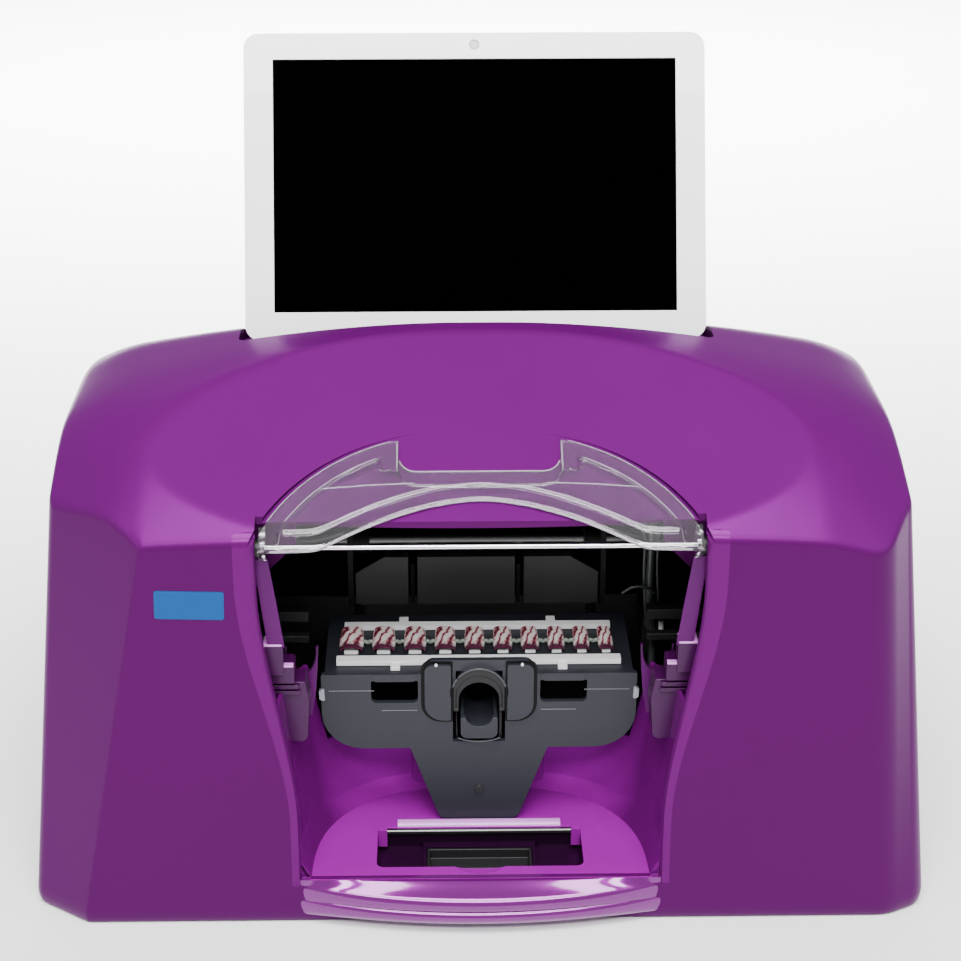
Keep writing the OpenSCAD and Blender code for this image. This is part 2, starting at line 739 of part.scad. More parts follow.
module finger_cup() {
    color([0.2, 0.21, 0.22]) difference() {
        union() {
            upright(tray_front - 3, cup_back - tray_front + 3) polygon(rounded([[-cup_w, cup_low],
                [cup_w, cup_low], [cup_w, cup_high], [-cup_w, cup_high]], [4, 4, 1, 1], corner_steps));
        }
        upright(tray_front + 0.5, 40) translate([0, cup_high]) circle(r = cup_w - 2);
        upright(tray_front - 5, 8) translate([0, cup_high + 2]) circle(r = cup_w - 2.6);
    }
}

// One turn per step of the helix from z0 to z1 as a closed tube
module cup_spring() {
    sides = 6;
    per_turn = 8;
    n = spring_turns * per_turn;
    z0 = ledge_z + 1 + spring_wire + 0.05;
    z1 = cup_low - spring_wire - 0.05;
    rings = [for (i = [0:n]) let (q = 360 * i / per_turn, z = z0 + (z1 - z0) * i / n)
        [for (k = [0:sides - 1]) let (p = 360 * k / sides, r = spring_r + spring_wire * cos(p))
            [r * cos(q), r * sin(q), z + spring_wire * sin(p)]]];
    color(steel) translate([0, spring_y, 0]) polyhedron([for (r = rings) for (p = r) p],
        concat([for (i = [0:n - 1]) for (k = [0:sides - 1]) let (a = i * sides, b = a + sides, m = (k + 1) % sides)
                each [[a + k, a + m, b + m], [a + k, b + m, b + k]]],
            [[for (k = [sides - 1:-1:0]) k], [for (k = [0:sides - 1]) n * sides + k]]));
}

module rack_clips() {
    color([0.55, 0.57, 0.6]) both_sides() {
        upright(tray_front - 1.6, 1.5) polygon(rounded([[window_in + 1, window_high + 0.4],
            [window_out - 1, window_high + 0.4], [window_out - 1, deck_z + 0.9], [window_in + 1, deck_z + 0.9]],
            [2, 2, 1, 1], corner_steps));
        for (x = [window_in + 1, window_out - 5])
            block([x, tray_front - 1.6, deck_z + 0.1], [x + 4, tray_front + 2.4, deck_z + 0.9]);
    }
}

function tip_w(i) = 13.4 - 5.2 * i / (tip_count - 1);
function tip_x(i) = let (t = i / (tip_count - 1)) tip_start + (tip_end - tip_start) * (t + 0.16 * t * (1 - t));

module tip_rack() {
    z = deck_z + gap;
    color(bare_white) union() {
        block([-rack_x, rack_front, z], [rack_x, rack_front + rail_front_w, z + rack_t]);
        block([-rack_x + 3, rack_back - rail_back_w, z], [rack_x - 3, rack_back, z + rack_t]);
        both_sides() {
            block([42, rack_front - 5.5, z], [47, rack_front + 1, z + rack_t - 0.6]);
            block([38, rack_back - 1, z], [43, rack_back + 6.5, z + rack_t - 0.6]);
        }
        for (i = [0:tip_count - 1])
            block([tip_x(i) - tip_w(i) * 0.28, rack_front + 5, z], [tip_x(i) + tip_w(i) * 0.28, rack_back - 2, z + 1.6]);
    }
}

// A nail tip is a shallow arched shell, narrower and lower towards its free end
module nail_tip(w) {
    len = tip_back - tip_front;
    n = 8;
    rows = 5;
    function arc_row(t, d) = let (half = (w / 2 - d) * (0.86 + 0.14 * sin(180 * t)), rise = w * 0.24 - d * 0.9)
        [for (k = [0:n]) let (q = 180 * k / n) [half * cos(q), rise * sin(q) * (1 - 0.25 * t * t)]];
    rings = [for (j = [0:rows]) let (t = j / rows)
        [for (p = concat(arc_row(t, 0), [for (k = [n:-1:0]) arc_row(t, 0.8)[k]])) [p.x, p.y, len * t]]];
    m = 2 * n + 2;
    rotate([90, 0, 180]) mirror([1, 0, 0]) polyhedron([for (r = rings) for (p = r) p],
        concat([for (j = [0:rows - 1]) for (k = [0:m - 1]) let (a = j * m, b = a + m, i = (k + 1) % m)
                each [[a + i, a + k, b + k], [a + i, b + k, b + i]]],
            [for (k = [0:n - 1]) each [[k, k + 1, m - 2 - k], [k, m - 2 - k, m - 1 - k]]],
            [for (k = [0:n - 1]) let (o = rows * m) each [[o + k + 1, o + k, o + m - 1 - k],
                [o + k + 1, o + m - 1 - k, o + m - 2 - k]]]));
}

module nail_tips() {
    color([0.9, 0.75, 0.8]) for (i = [0:tip_count - 1])
        translate([tip_x(i), tip_front, deck_z + gap + 1.75]) nail_tip(tip_w(i));
}

module tongue_screw() {
    color(charcoal) {
        y_bar(0, tray_front - 1.2, 46.4, 2.5, 1.2);
        y_bar(0, tray_front - 0.5, 46.4, 1.5, 6);
    }
}

module tray_rails() {
    color(steel) both_sides() y_bar(sleeve_x, rail_start, sleeve_z, rail_r, chassis_end - rail_start);
}

// ---- Chassis ----

module chassis_side() {
    difference() {
        union() {
            sideways(chassis_w, chassis_t) polygon(rounded([[chassis_front, deck0], [chassis_end + 6, deck0],
                [chassis_end + 6, chassis_top_z], [chassis_front, chassis_top_z]], [1, 1, 12, 12], corner_steps));
            block([chassis_w, chassis_front, deck0], [chassis_w + 12, chassis_end + 6, deck0 + chassis_t]);
        }
        sideways(chassis_w - 1, chassis_t + 2) {
            for (y = [-72, -20]) translate([y, 56]) circle(r = 20);
            polygon(rounded([[-34, 176], [8, 176], [8, 188], [-34, 188]], [5, 5, 5, 5], corner_steps));
        }
        x_bar(chassis_w - 1, front_rod_y, front_rod_z, guide_r + fit, chassis_t + 2);
        x_bar(chassis_w - 1, rear_rod_y, rear_rod_z, guide_r + fit, chassis_t + 2);
    }
}

module chassis_right() { color(dark) chassis_side(); }
module chassis_left() { color(dark) mirror([1, 0, 0]) chassis_side(); }

module chassis_back() {
    color(dark) difference() {
        block([-chassis_w, chassis_end, 60], [chassis_w, chassis_end + chassis_t, 190]);
        y_bar(-belt_x, chassis_end - 1, belt_z, 6, 5);
        y_bar(belt_x, chassis_end - 1, belt_z, 3 + fit, 5);
        for (x = [-60, 0, 60]) upright(chassis_end - 1, 5) translate([x, 90]) round_rect(40, 30, 6);
    }
}

module chassis_top() {
    color(dark) difference() {
        block([-chassis_w, chassis_front, chassis_top_z], [chassis_w, chassis_front + 50, chassis_top_z + chassis_t]);
        for (x = [-100, -50, 0, 50]) translate([x, chassis_front + 25, chassis_top_z - 1]) cylinder(r = 12, h = 5);
    }
}

module rail_bracket() {
    color(dark) difference() {
        block([-chassis_w, beam_y, 60], [chassis_w, beam_y + chassis_t, 112]);
        both_sides() y_bar(sleeve_x, beam_y - 1, sleeve_z, rail_r + fit, 5);
    }
}

module front_crossbars() {
    color([0.2, 0.2, 0.21]) both_sides() {
        block([92, chassis_front + 4, 130], [chassis_w, chassis_front + 12, 136]);
        block([92, chassis_front + 4, 117], [chassis_w, chassis_front + 9, 121]);
    }
}

module guide_rod_front() { color(steel) x_bar(-chassis_w - 4, front_rod_y, front_rod_z, guide_r, 2 * chassis_w + 8); }
module guide_rod_rear() { color(steel) x_bar(-chassis_w - 4, rear_rod_y, rear_rod_z, guide_r, 2 * chassis_w + 8); }

// ---- Print carriage ----

module carriage() {
    inner = carriage_w + 3;
    color(dark) difference() {
        union() {
            both_sides() {
                sideways(carriage_w, 3) polygon([[car_front + 2, carriage_z], [rear_rod_y + 4.5, carriage_z],
                    [rear_rod_y + boss_car_r - 1.5, rear_rod_z], [rear_rod_y, rear_rod_z + boss_car_r - 1.5],
                    [-30, front_rod_z - 2], [front_rod_y + 8, front_rod_z + boss_car_r - 1],
                    [front_rod_y - 7, front_rod_z + boss_car_r - 1], [car_front + 2, 150]]);
                x_bar(inner - boss_car_len, front_rod_y, front_rod_z, boss_car_r, boss_car_len);
                x_bar(inner - boss_car_len, rear_rod_y, rear_rod_z, boss_car_r, boss_car_len);
            }
            block([-carriage_w, -62, carriage_z], [carriage_w, car_back, carriage_z + 2]);
            block([-carriage_w, car_back, carriage_z], [carriage_w, car_back + 3, 156]);
            for (x = [-35.5, 23]) block([x - 1, car_front + 6, carriage_z], [x + 1, car_back + 1, 150]);
            both_sides() block([carriage_w - 10, car_back + 2, rear_rod_z - 6], [carriage_w, rear_rod_y - 5, rear_rod_z]);
        }
        both_sides() {
            x_bar(inner - boss_car_len - 1, front_rod_y, front_rod_z, guide_r + bush_t + fit, boss_car_len + 2);
            x_bar(inner - boss_car_len - 1, rear_rod_y, rear_rod_z, guide_r + bush_t + fit, boss_car_len + 2);
        }
    }
}

module carriage_bushes() {
    color([0.75, 0.6, 0.3]) both_sides() for (s = [[front_rod_y, front_rod_z], [rear_rod_y, rear_rod_z]])
        difference() {
            x_bar(carriage_w + 3 - boss_car_len, s[0], s[1], guide_r + bush_t, boss_car_len);
            x_bar(carriage_w + 2 - boss_car_len, s[0], s[1], guide_r + fit, boss_car_len + 2);
        }
}

module belt_clamp() {
    run = belt_z - pulley_r - belt_t;      // underside of the lower run
    color(dark) difference() {
        block([-8, car_back + 3, carriage_z + 1.5], [8, belt_y + belt_w + 1.3, run + belt_t + 4]);
        block([-9, belt_y - gap, run - gap], [9, belt_y + belt_w + 3, run + belt_t + gap]);
        block([-9, car_back + 6, run + 0.5], [9, belt_y - 3, run + 10]);
    }
}

// An ink cartridge from x0 to x1, with its nozzle plate under its front
module cartridge(x0, x1, cut_left, cut_right) {
    top = 158;
    color([0.16, 0.16, 0.18]) difference() {
        union() {
            upright(car_front, car_back - car_front - gap) polygon([[x0, carriage_z + 2 + gap],
                [x1, carriage_z + 2 + gap], [x1, top - cut_right], [x1 - cut_right * 1.6, top],
                [x0 + cut_left * 1.6, top], [x0, top - cut_left]]);
            block([x0 + 3, car_front + 2, carriage_z + gap], [x1 - 3, -66, carriage_z + 3]);
        }
        block([x0 + 4, car_front + 10, top - 3], [x1 - 4, front_rod_y + 13, top + 1]);
    }
}

module cartridge_left() { cartridge(-carriage_w + 1, -37.5, 10, 0); }
module cartridge_middle() { cartridge(-33, 21, 0, 0); }
module cartridge_right() { cartridge(25.5, carriage_w - 1, 0, 10); }

module stadium(r) {
    for (x = [-belt_x, belt_x]) translate([x, belt_z]) circle(r = r);
    translate([-belt_x, belt_z - r]) square([2 * belt_x, 2 * r]);
}

module drive_belt() {
    color(dark) upright(belt_y, belt_w) difference() {
        stadium(pulley_r + belt_t);
        stadium(pulley_r + 0.1);
    }
}

module pulley(x) {
    y_bar(x, belt_y - 0.5, belt_z, pulley_r, belt_w + 1);
    for (y = [belt_y - 1.7, belt_y + belt_w + 0.3]) y_bar(x, y, belt_z, pulley_r + 2, 1.2);
}

module motor_pulley() {
    color(steel) {
        pulley(-belt_x);
        y_bar(-belt_x, belt_y - 3, belt_z, 2.5, 32);
    }
}

module idler_pulley() {
    color(steel) difference() {
        pulley(belt_x);
        y_bar(belt_x, belt_y - 5, belt_z, 3 + fit, 20);
    }
}

module idler_pin() {
    color(steel) {
        y_bar(belt_x, belt_y - 2.4, belt_z, 3, chassis_end + chassis_t - belt_y + 3.4);
        y_bar(belt_x, chassis_end + chassis_t, belt_z, 6, 2);
        y_bar(belt_x, belt_y - 2.9, belt_z, 4.5, 1);
    }
}

module carriage_motor() {
    y0 = chassis_end + chassis_t;
    color(dark) difference() {
        union() {
            y_bar(-belt_x, y0, belt_z, 18, 34);
            block([-belt_x - 21, y0, belt_z - 6], [-belt_x + 21, y0 + 2, belt_z + 6]);
        }
        y_bar(-belt_x, y0 - 1, belt_z, 2.5 + fit, 22);
    }
}

module cap_station() {
    cell = (chassis_w - 3 - 95) / 3;
    color(dark) {
        difference() {
            block([92, -84, 96], [chassis_w, beam_y - 2, 118]);
            block([95, -81, 100], [chassis_w - 3, beam_y - 5, 119]);
        }
        for (i = [0:2]) let (x = 95 + cell * (i + 0.5), half = cell / 2 - 2.7) {
            block([x - half, -80, 99], [x + half, -62, 118]);
            block([x - half + 1, -79, 118], [x + half - 1, -63, 121]);
        }
    }
}

module wiring_loom() {
    color(dark) {
        for (x = [93, 97.5, 102]) translate([x, -93, deck0]) cylinder(r = 2, h = chassis_top_z - deck0);
        for (z = [60, 150]) block([90.5, -95.4, z], [104.5, -90.6, z + 4]);
    }
}

// ---- Electronics and rear panel ----

module main_board() {
    color([0.1, 0.35, 0.2]) union() {
        block([-30, 70, deck0 + 7], [150, 165, deck0 + 8.6]);
        for (x = [-22, 142]) for (y = [78, 157]) translate([x, y, deck0]) cylinder(r = 3, h = 8);
        block([20, 95, deck0 + 8], [48, 123, deck0 + 11]);
        block([75, 90, deck0 + 8], [95, 104, deck0 + 10.5]);
        block([110, 88, deck0 + 8], [122, 140, deck0 + 18]);
        block([-20, 150, deck0 + 8], [60, 158, deck0 + 16]);
    }
}

module power_supply() {
    color(steel) difference() {
        block([supply_x, 60, deck0], [supply_x + 115, 160, deck0 + 46]);
        for (i = [0:7]) block([supply_x + 10 + i * 13, 70, deck0 + 44], [supply_x + 16 + i * 13, 150, deck0 + 50]);
    }
}

module rear_panel() {
    color(dark) difference() {
        block([-panel_w - wall, panel_y, deck0], [panel_w + wall, panel_y + 2.8, panel_high + wall]);
        block([inlet_x - 14, panel_y - 1, inlet_z - 10], [inlet_x + 14, panel_y + 4, inlet_z + 10]);
        block([inlet_x - switch_w, panel_y - 1, switch_z - switch_h], [inlet_x + switch_w, panel_y + 4, switch_z + switch_h]);
        block([-36.5, panel_y - 1, 46], [-23.5, panel_y + 4, 52]);
        upright(panel_y - 1, 5) intersection() {
            translate([fan_x, fan_z]) circle(r = fan_half - 3);
            union() for (i = [-4:4]) translate([fan_x + i * 6 - 2, 0]) square([4, 200]);
        }
        for (s = [[-104, 30], [-104, 104], [104, 30], [104, 104]]) y_bar(s[0], panel_y - 1, s[1], 1.7, 5);
    }
}

module rear_screws() {
    color(steel) for (s = [[-104, 30], [-104, 104], [104, 30], [104, 104]]) {
        y_bar(s[0], panel_y + 2.8, s[1], 3, 1.6);
        y_bar(s[0], panel_y - 4, s[1], 1.5, 7);
    }
}

module power_inlet() {
    color(dark) difference() {
        union() {
            block([inlet_x - 13.7, panel_y - 18, inlet_z - 9.7], [inlet_x + 13.7, panel_y + 4, inlet_z + 9.7]);
            block([inlet_x - 17, panel_y + 2.8, inlet_z - 13], [inlet_x + 17, panel_y + 4.8, inlet_z + 13]);
        }
        upright(panel_y - 12, 20) polygon([[inlet_x - 11, inlet_z - 7], [inlet_x + 11, inlet_z - 7],
            [inlet_x + 11, inlet_z + 3], [inlet_x + 7, inlet_z + 7], [inlet_x - 7, inlet_z + 7], [inlet_x - 11, inlet_z + 3]]);
    }
    color(steel) for (s = [[-6, -1.5], [0, 2.5], [6, -1.5]])
        block([inlet_x + s[0] - 0.8, panel_y - 13, inlet_z + s[1] - 2], [inlet_x + s[0] + 0.8, panel_y + 2, inlet_z + s[1] + 2]);
}

module switch_housing() {
    color(dark) difference() {
        union() {
            difference() {
                block([inlet_x - switch_w - 2, panel_y - 16, switch_z - switch_h - 2],
                    [inlet_x + switch_w + 2, panel_y, switch_z + switch_h + 2]);
                block([inlet_x - switch_w, panel_y - 14, switch_z - switch_h],
                    [inlet_x + switch_w, panel_y + 1, switch_z + switch_h]);
            }
            x_bar(inlet_x - switch_w - 1, panel_y - 4, switch_z, 1.2, 2 * switch_w + 2);
        }
    }
}

module power_switch() {
    w = switch_w - 0.5;
    h = switch_h - 1.5;
    color([0.2, 0.2, 0.21]) difference() {
        sideways(inlet_x - w, 2 * w) polygon([[panel_y - 8, switch_z - 5], [panel_y + 2.6, switch_z - h],
            [panel_y + 3.8, switch_z - h + 1], [panel_y + 2, switch_z], [panel_y + 3.8, switch_z + h - 1],
            [panel_y + 2.6, switch_z + h], [panel_y - 8, switch_z + 5]]);
        x_bar(inlet_x - w - 1, panel_y - 4, switch_z, 1.2 + fit, 2 * w + 2);
    }
}

module usb_port() {
    color(steel) difference() {
        block([-36.2, panel_y - 12, 46.3], [-23.8, panel_y + 3.2, 51.7]);
        block([-35.4, panel_y - 10, 47.1], [-24.6, panel_y + 4, 50.9]);
    }
}

module fan_frame() {
    color(dark) difference() {
        union() {
            difference() {
                block([fan_x - fan_half, panel_y - fan_d, fan_z - fan_half], [fan_x + fan_half, panel_y, fan_z + fan_half]);
                y_bar(fan_x, panel_y - fan_d - 1, fan_z, fan_half - 2, fan_d + 2);
            }
            y_bar(fan_x, panel_y - fan_d, fan_z, 9, 2);
            for (a = [45, 135]) translate([fan_x, panel_y - fan_d, fan_z]) rotate([0, a, 0])
                translate([-fan_half, 0, -2]) cube([2 * fan_half, 2, 4]);
            y_bar(fan_x, panel_y - fan_d, fan_z, 1.5, fan_d - 4);
        }
    }
}

module fan_rotor() {
    y0 = panel_y - fan_d + 3;
    color([0.15, 0.15, 0.16]) difference() {
        union() {
            y_bar(fan_x, y0, fan_z, 10, 9);
            for (i = [0:blades - 1]) translate([fan_x, y0 + 4.5, fan_z]) rotate([0, i * 360 / blades, 0])
                translate([8, 0, 0]) rotate([34, 0, 0]) translate([0, -4.5, -0.8]) cube([fan_half - 12, 9, 1.6]);
        }
        y_bar(fan_x, y0 - 1, fan_z, 1.5 + fit, 9);
    }
}

shell();
base_pan();
feet();
shell_screws();
niche_liner();
slot_bar();
bar_clips();
accessory_bin();
visor();
visor_rod();
visor_brackets();
visor_bushes();
display_bezel();
display_back();
screen_panel();
camera_lens();
hinge_bracket();
hinge_pin();
tray_body();
finger_arch();
finger_cup();
cup_spring();
rack_clips();
tip_rack();
nail_tips();
tongue_screw();
tray_rails();
chassis_left();
chassis_right();
chassis_back();
chassis_top();
rail_bracket();
front_crossbars();
guide_rod_front();
guide_rod_rear();
carriage();
carriage_bushes();
belt_clamp();
cartridge_left();
cartridge_middle();
cartridge_right();
drive_belt();
motor_pulley();
idler_pulley();
idler_pin();
carriage_motor();
cap_station();
wiring_loom();
main_board();
power_supply();
fan_frame();
fan_rotor();
rear_panel();
power_inlet();
power_switch();
switch_housing();
usb_port();
rear_screws();
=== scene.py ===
# %% [markdown]
# # A desktop nail art printer
# The imported part holds every real dimension, so it is loaded first and never changed. All the
# pieces made here are worked out in millimetres in the same frame, X to the right, Y to the back
# and Z up, and stored in metres.
# %% Load the part
import json
import math
import bmesh
import bpy
import numpy as np
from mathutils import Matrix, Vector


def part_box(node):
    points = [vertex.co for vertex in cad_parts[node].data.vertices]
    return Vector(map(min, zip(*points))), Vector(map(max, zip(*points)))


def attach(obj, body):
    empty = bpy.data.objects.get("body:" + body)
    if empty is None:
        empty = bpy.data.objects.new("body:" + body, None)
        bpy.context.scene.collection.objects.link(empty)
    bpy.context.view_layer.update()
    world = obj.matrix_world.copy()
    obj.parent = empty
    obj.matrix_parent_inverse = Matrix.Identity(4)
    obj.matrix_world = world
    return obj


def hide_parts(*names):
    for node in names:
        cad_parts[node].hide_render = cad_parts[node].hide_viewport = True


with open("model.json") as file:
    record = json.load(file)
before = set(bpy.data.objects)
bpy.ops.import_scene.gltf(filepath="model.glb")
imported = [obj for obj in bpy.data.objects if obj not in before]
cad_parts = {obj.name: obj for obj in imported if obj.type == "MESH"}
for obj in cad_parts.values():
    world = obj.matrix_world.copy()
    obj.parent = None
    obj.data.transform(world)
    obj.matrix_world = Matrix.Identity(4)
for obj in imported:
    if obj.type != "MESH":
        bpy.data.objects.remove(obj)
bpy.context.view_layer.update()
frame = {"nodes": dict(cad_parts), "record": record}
nodes = frame["nodes"]
print("part loaded,", len(nodes), "nodes")

# %% [markdown]
# ## Camera
# The photograph looks down at the machine by 25 degrees from a little over a metre, straight from
# the front. A long lens keeps the sides nearly parallel, as in the picture. Place, turn and shift
# were found by least squares from twenty points measured in the picture.
# %% Camera
camera_data = bpy.data.cameras.new("camera")
camera_data.lens = 80
camera_data.sensor_width = 36
camera_data.shift_x = 0.0177
camera_data.shift_y = -0.0071
camera = bpy.data.objects.new("camera", camera_data)
camera.location = (-0.0216, -1.1199, 0.7000)
camera.rotation_euler = (math.radians(64.6), math.radians(0.05), math.radians(-0.81))
bpy.context.collection.objects.link(camera)
bpy.context.scene.camera = camera

# %% [markdown]
# ## Points and faces
# Each moulded surface is a grid of points: one direction runs round or along the piece, the other
# across it. A grid's faces depend only on its two counts, so they come from index arithmetic. Rings
# that are stacked and capped make a closed solid, which is what a moulding with thickness is.
# %% Grid, loft and mesh helpers
def grid_faces(rows, cols, round_and_round):
    """Quads between neighbours of a rows x cols grid; with round_and_round the last column meets the first."""
    across = cols if round_and_round else cols - 1
    i, j = np.meshgrid(np.arange(rows - 1), np.arange(across), indexing="ij")
    right = (j + 1) % cols
    return np.stack([i * cols + j, i * cols + right, (i + 1) * cols + right, (i + 1) * cols + j],
                    -1).reshape(-1, 4)


def loft(rings):
    """Closed solid through rings of equal count, shape (rings, points, 3): its skin and two flat caps."""
    rows, cols = rings.shape[:2]
    last = (rows - 1) * cols
    return rings.reshape(-1, 3), [grid_faces(rows, cols, True), np.arange(cols)[::-1], np.arange(cols) + last]


def mesh_from(name, points, faces):
    """Mesh in metres from points in millimetres; faces are arrays, one quad a row or one whole outline."""
    flat = [f for block in faces for f in (block.tolist() if block.ndim == 2 else [block.tolist()])]
    mesh = bpy.data.meshes.new(name)
    mesh.from_pydata((np.asarray(points) * 0.001).tolist(), [], flat)
    tidy = bmesh.new()
    tidy.from_mesh(mesh)
    bmesh.ops.remove_doubles(tidy, verts=tidy.verts, dist=1e-7)
    bmesh.ops.recalc_face_normals(tidy, faces=tidy.faces)
    tidy.to_mesh(mesh)
    tidy.free()
    return mesh


def joined(*solids):
    """Several (points, faces) solids as one, with the later face numbers moved up."""
    points, faces, start = [], [], 0
    for p, f in solids:
        points.append(p)
        faces += [block + start for block in f]
        start += len(p)
    return np.concatenate(points), faces


def shade(obj, angle=32):
    """Smooth shading, kept sharp where faces meet at more than angle degrees."""
    obj.data.shade_smooth()
    obj.data.set_sharp_from_angle(angle=math.radians(angle))


def piece(name, solid, finish, body="printer", stands_for=(), angle=32):
    """A finished object from points and faces: its material, the body it rides on and the nodes it replaces."""
    mesh = solid if isinstance(solid, bpy.types.Mesh) else mesh_from(name, *solid)
    obj = bpy.data.objects.new(name, mesh)
    bpy.context.collection.objects.link(obj)
    obj.data.materials.clear()
    obj.data.materials.append(finish)
    shade(obj, angle)
    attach(obj, body)
    if stands_for:
        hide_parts(*stands_for)
    return obj


def carve(mesh, *cutters, keep=None):
    """The mesh less each cutter solid, and only its part inside keep, by Booleans kept as plain faces."""
    body = bpy.data.objects.new("carving", mesh)
    bpy.context.collection.objects.link(body)
    tools = []
    for n, solid in enumerate([*cutters, keep] if keep else cutters):
        tool_mesh = solid if isinstance(solid, bpy.types.Mesh) else mesh_from(f"tool_{n}", *solid)
        tool = bpy.data.objects.new(f"tool_{n}", tool_mesh)
        bpy.context.collection.objects.link(tool)
        cut = body.modifiers.new(f"cut_{n}", "BOOLEAN")
        cut.object = tool
        cut.operation = "INTERSECT" if solid is keep else "DIFFERENCE"
        cut.solver = "MANIFOLD"
        tools.append(tool)
    bpy.context.view_layer.update()
    graph = bpy.context.evaluated_depsgraph_get()
    result = bpy.data.meshes.new_from_object(body.evaluated_get(graph))
    for spare in [body, *tools]:
        bpy.data.objects.remove(spare)
    return result


def round_edges(obj, width, angle=30, segments=3):
    """Small rounded edges of width millimetres wherever faces meet at more than angle degrees."""
    bevel = obj.modifiers.new("edges", "BEVEL")
    bevel.width = width * 0.001
    bevel.segments = segments
    bevel.limit_method = "ANGLE"
    bevel.angle_limit = math.radians(angle)
    bevel.harden_normals = True
    return obj


print("helpers ready")

# %% [markdown]
# ## Outlines
# Almost every moulding here starts as a flat outline with round corners. A corner's arc is tangent
# to both its edges, so its centre lies on the line that halves the angle between them.
# %% Rounded outlines
def corner_arc(before, at, after, radius, steps):
    """Arc of radius tangent to both edges at a corner: centre = corner + (u + w) unit * r / sin(half angle)."""
    u = (before - at) / np.linalg.norm(before - at)
    w = (after - at) / np.linalg.norm(after - at)
    half = np.arccos(np.clip(u @ w, -1, 1)) / 2
    centre = at + (u + w) / np.linalg.norm(u + w) * radius / np.sin(half)
    start, end = at + u * radius / np.tan(half) - centre, at + w * radius / np.tan(half) - centre
    a0 = np.arctan2(start[1], start[0])
    turn = (np.arctan2(end[1], end[0]) - a0 + 3 * np.pi) % (2 * np.pi) - np.pi
    a = a0 + turn * np.linspace(0, 1, steps + 1)
    return centre + radius * np.stack([np.cos(a), np.sin(a)], -1)


def rounded(corners, radii, steps=6, along=1):
    """Closed outline with each corner rounded by its own radius and along extra pieces in each straight edge."""
    corners = np.asarray(corners, float)
    n = len(corners)
    radii = np.broadcast_to(radii, n)
    along = np.broadcast_to(along, n)
    arcs = [corner_arc(corners[i - 1], corners[i], corners[(i + 1) % n], radii[i], steps) for i in range(n)]
    parts = []
    for i in range(n):
        t = np.linspace(0, 1, along[i] + 1)[1:-1, None]
        parts += [arcs[i], arcs[i][-1] + (arcs[(i + 1) % n][0] - arcs[i][-1]) * t]
    return np.concatenate(parts)


def rectangle(low_x, low_y, high_x, high_y, radius=0.4, steps=6):
    return rounded([[low_x, low_y], [high_x, low_y], [high_x, high_y], [low_x, high_y]], radius, steps)


def prism(outline, start, end, axis="z"):
    """Straight solid of a flat outline between two heights along one axis. The outline's two numbers are the
    other two coordinates in the order x, y, z."""
    rings = np.zeros((2, len(outline), 3))
    order = {"z": (0, 1, 2), "y": (0, 2, 1), "x": (1, 2, 0)}[axis]
    rings[:, :, order[0]] = outline[:, 0]
    rings[:, :, order[1]] = outline[:, 1]
    rings[0, :, order[2]], rings[1, :, order[2]] = start, end
    return loft(rings)


def smooth_step(t):
    """0 below 0, 1 above 1 and an S curve, 3t^2 - 2t^3, between."""
    t = np.clip(t, 0, 1)
    return t * t * (3 - 2 * t)


def tube(path, radius, sides=14):
    """Round bar along a path: each ring is radius * (side * cos + up * sin), with side and up square to the path."""
    path = np.asarray(path, float)
    ahead = np.gradient(path, axis=0)
    ahead /= np.linalg.norm(ahead, axis=1, keepdims=True)
    spare = np.where(np.abs(ahead[:, 2:3]) < 0.8, [[0, 0, 1.0]], [[1.0, 0, 0]])
    side = np.cross(ahead, spare)
    side /= np.linalg.norm(side, axis=1, keepdims=True)
    up = np.cross(side, ahead)
    a = np.linspace(0, 2 * np.pi, sides, endpoint=False)[None, :, None]
    return loft(path[:, None] + radius * (side[:, None] * np.cos(a) + up[:, None] * np.sin(a)))


# %% [markdown]
# ## Finishes
# The casing is a pearly moulded plastic, so its colour holds a faint cloudiness and its gloss a
# soft ripple. The other plastics have a fine spark-eroded grain. Both effects are used by several
# materials, so each is a node group with its own inputs, placed with other values each time.
# %% Shared effects
def new_group(name, inputs, outputs):
    group = bpy.data.node_groups.new(name, "ShaderNodeTree")
    for title, kind, value in inputs:
        socket = group.interface.new_socket(title, in_out="INPUT", socket_type=kind)
        socket.default_value = value
    for title, kind in outputs:
        group.interface.new_socket(title, in_out="OUTPUT", socket_type=kind)
    return group, group.nodes.new("NodeGroupInput"), group.nodes.new("NodeGroupOutput")


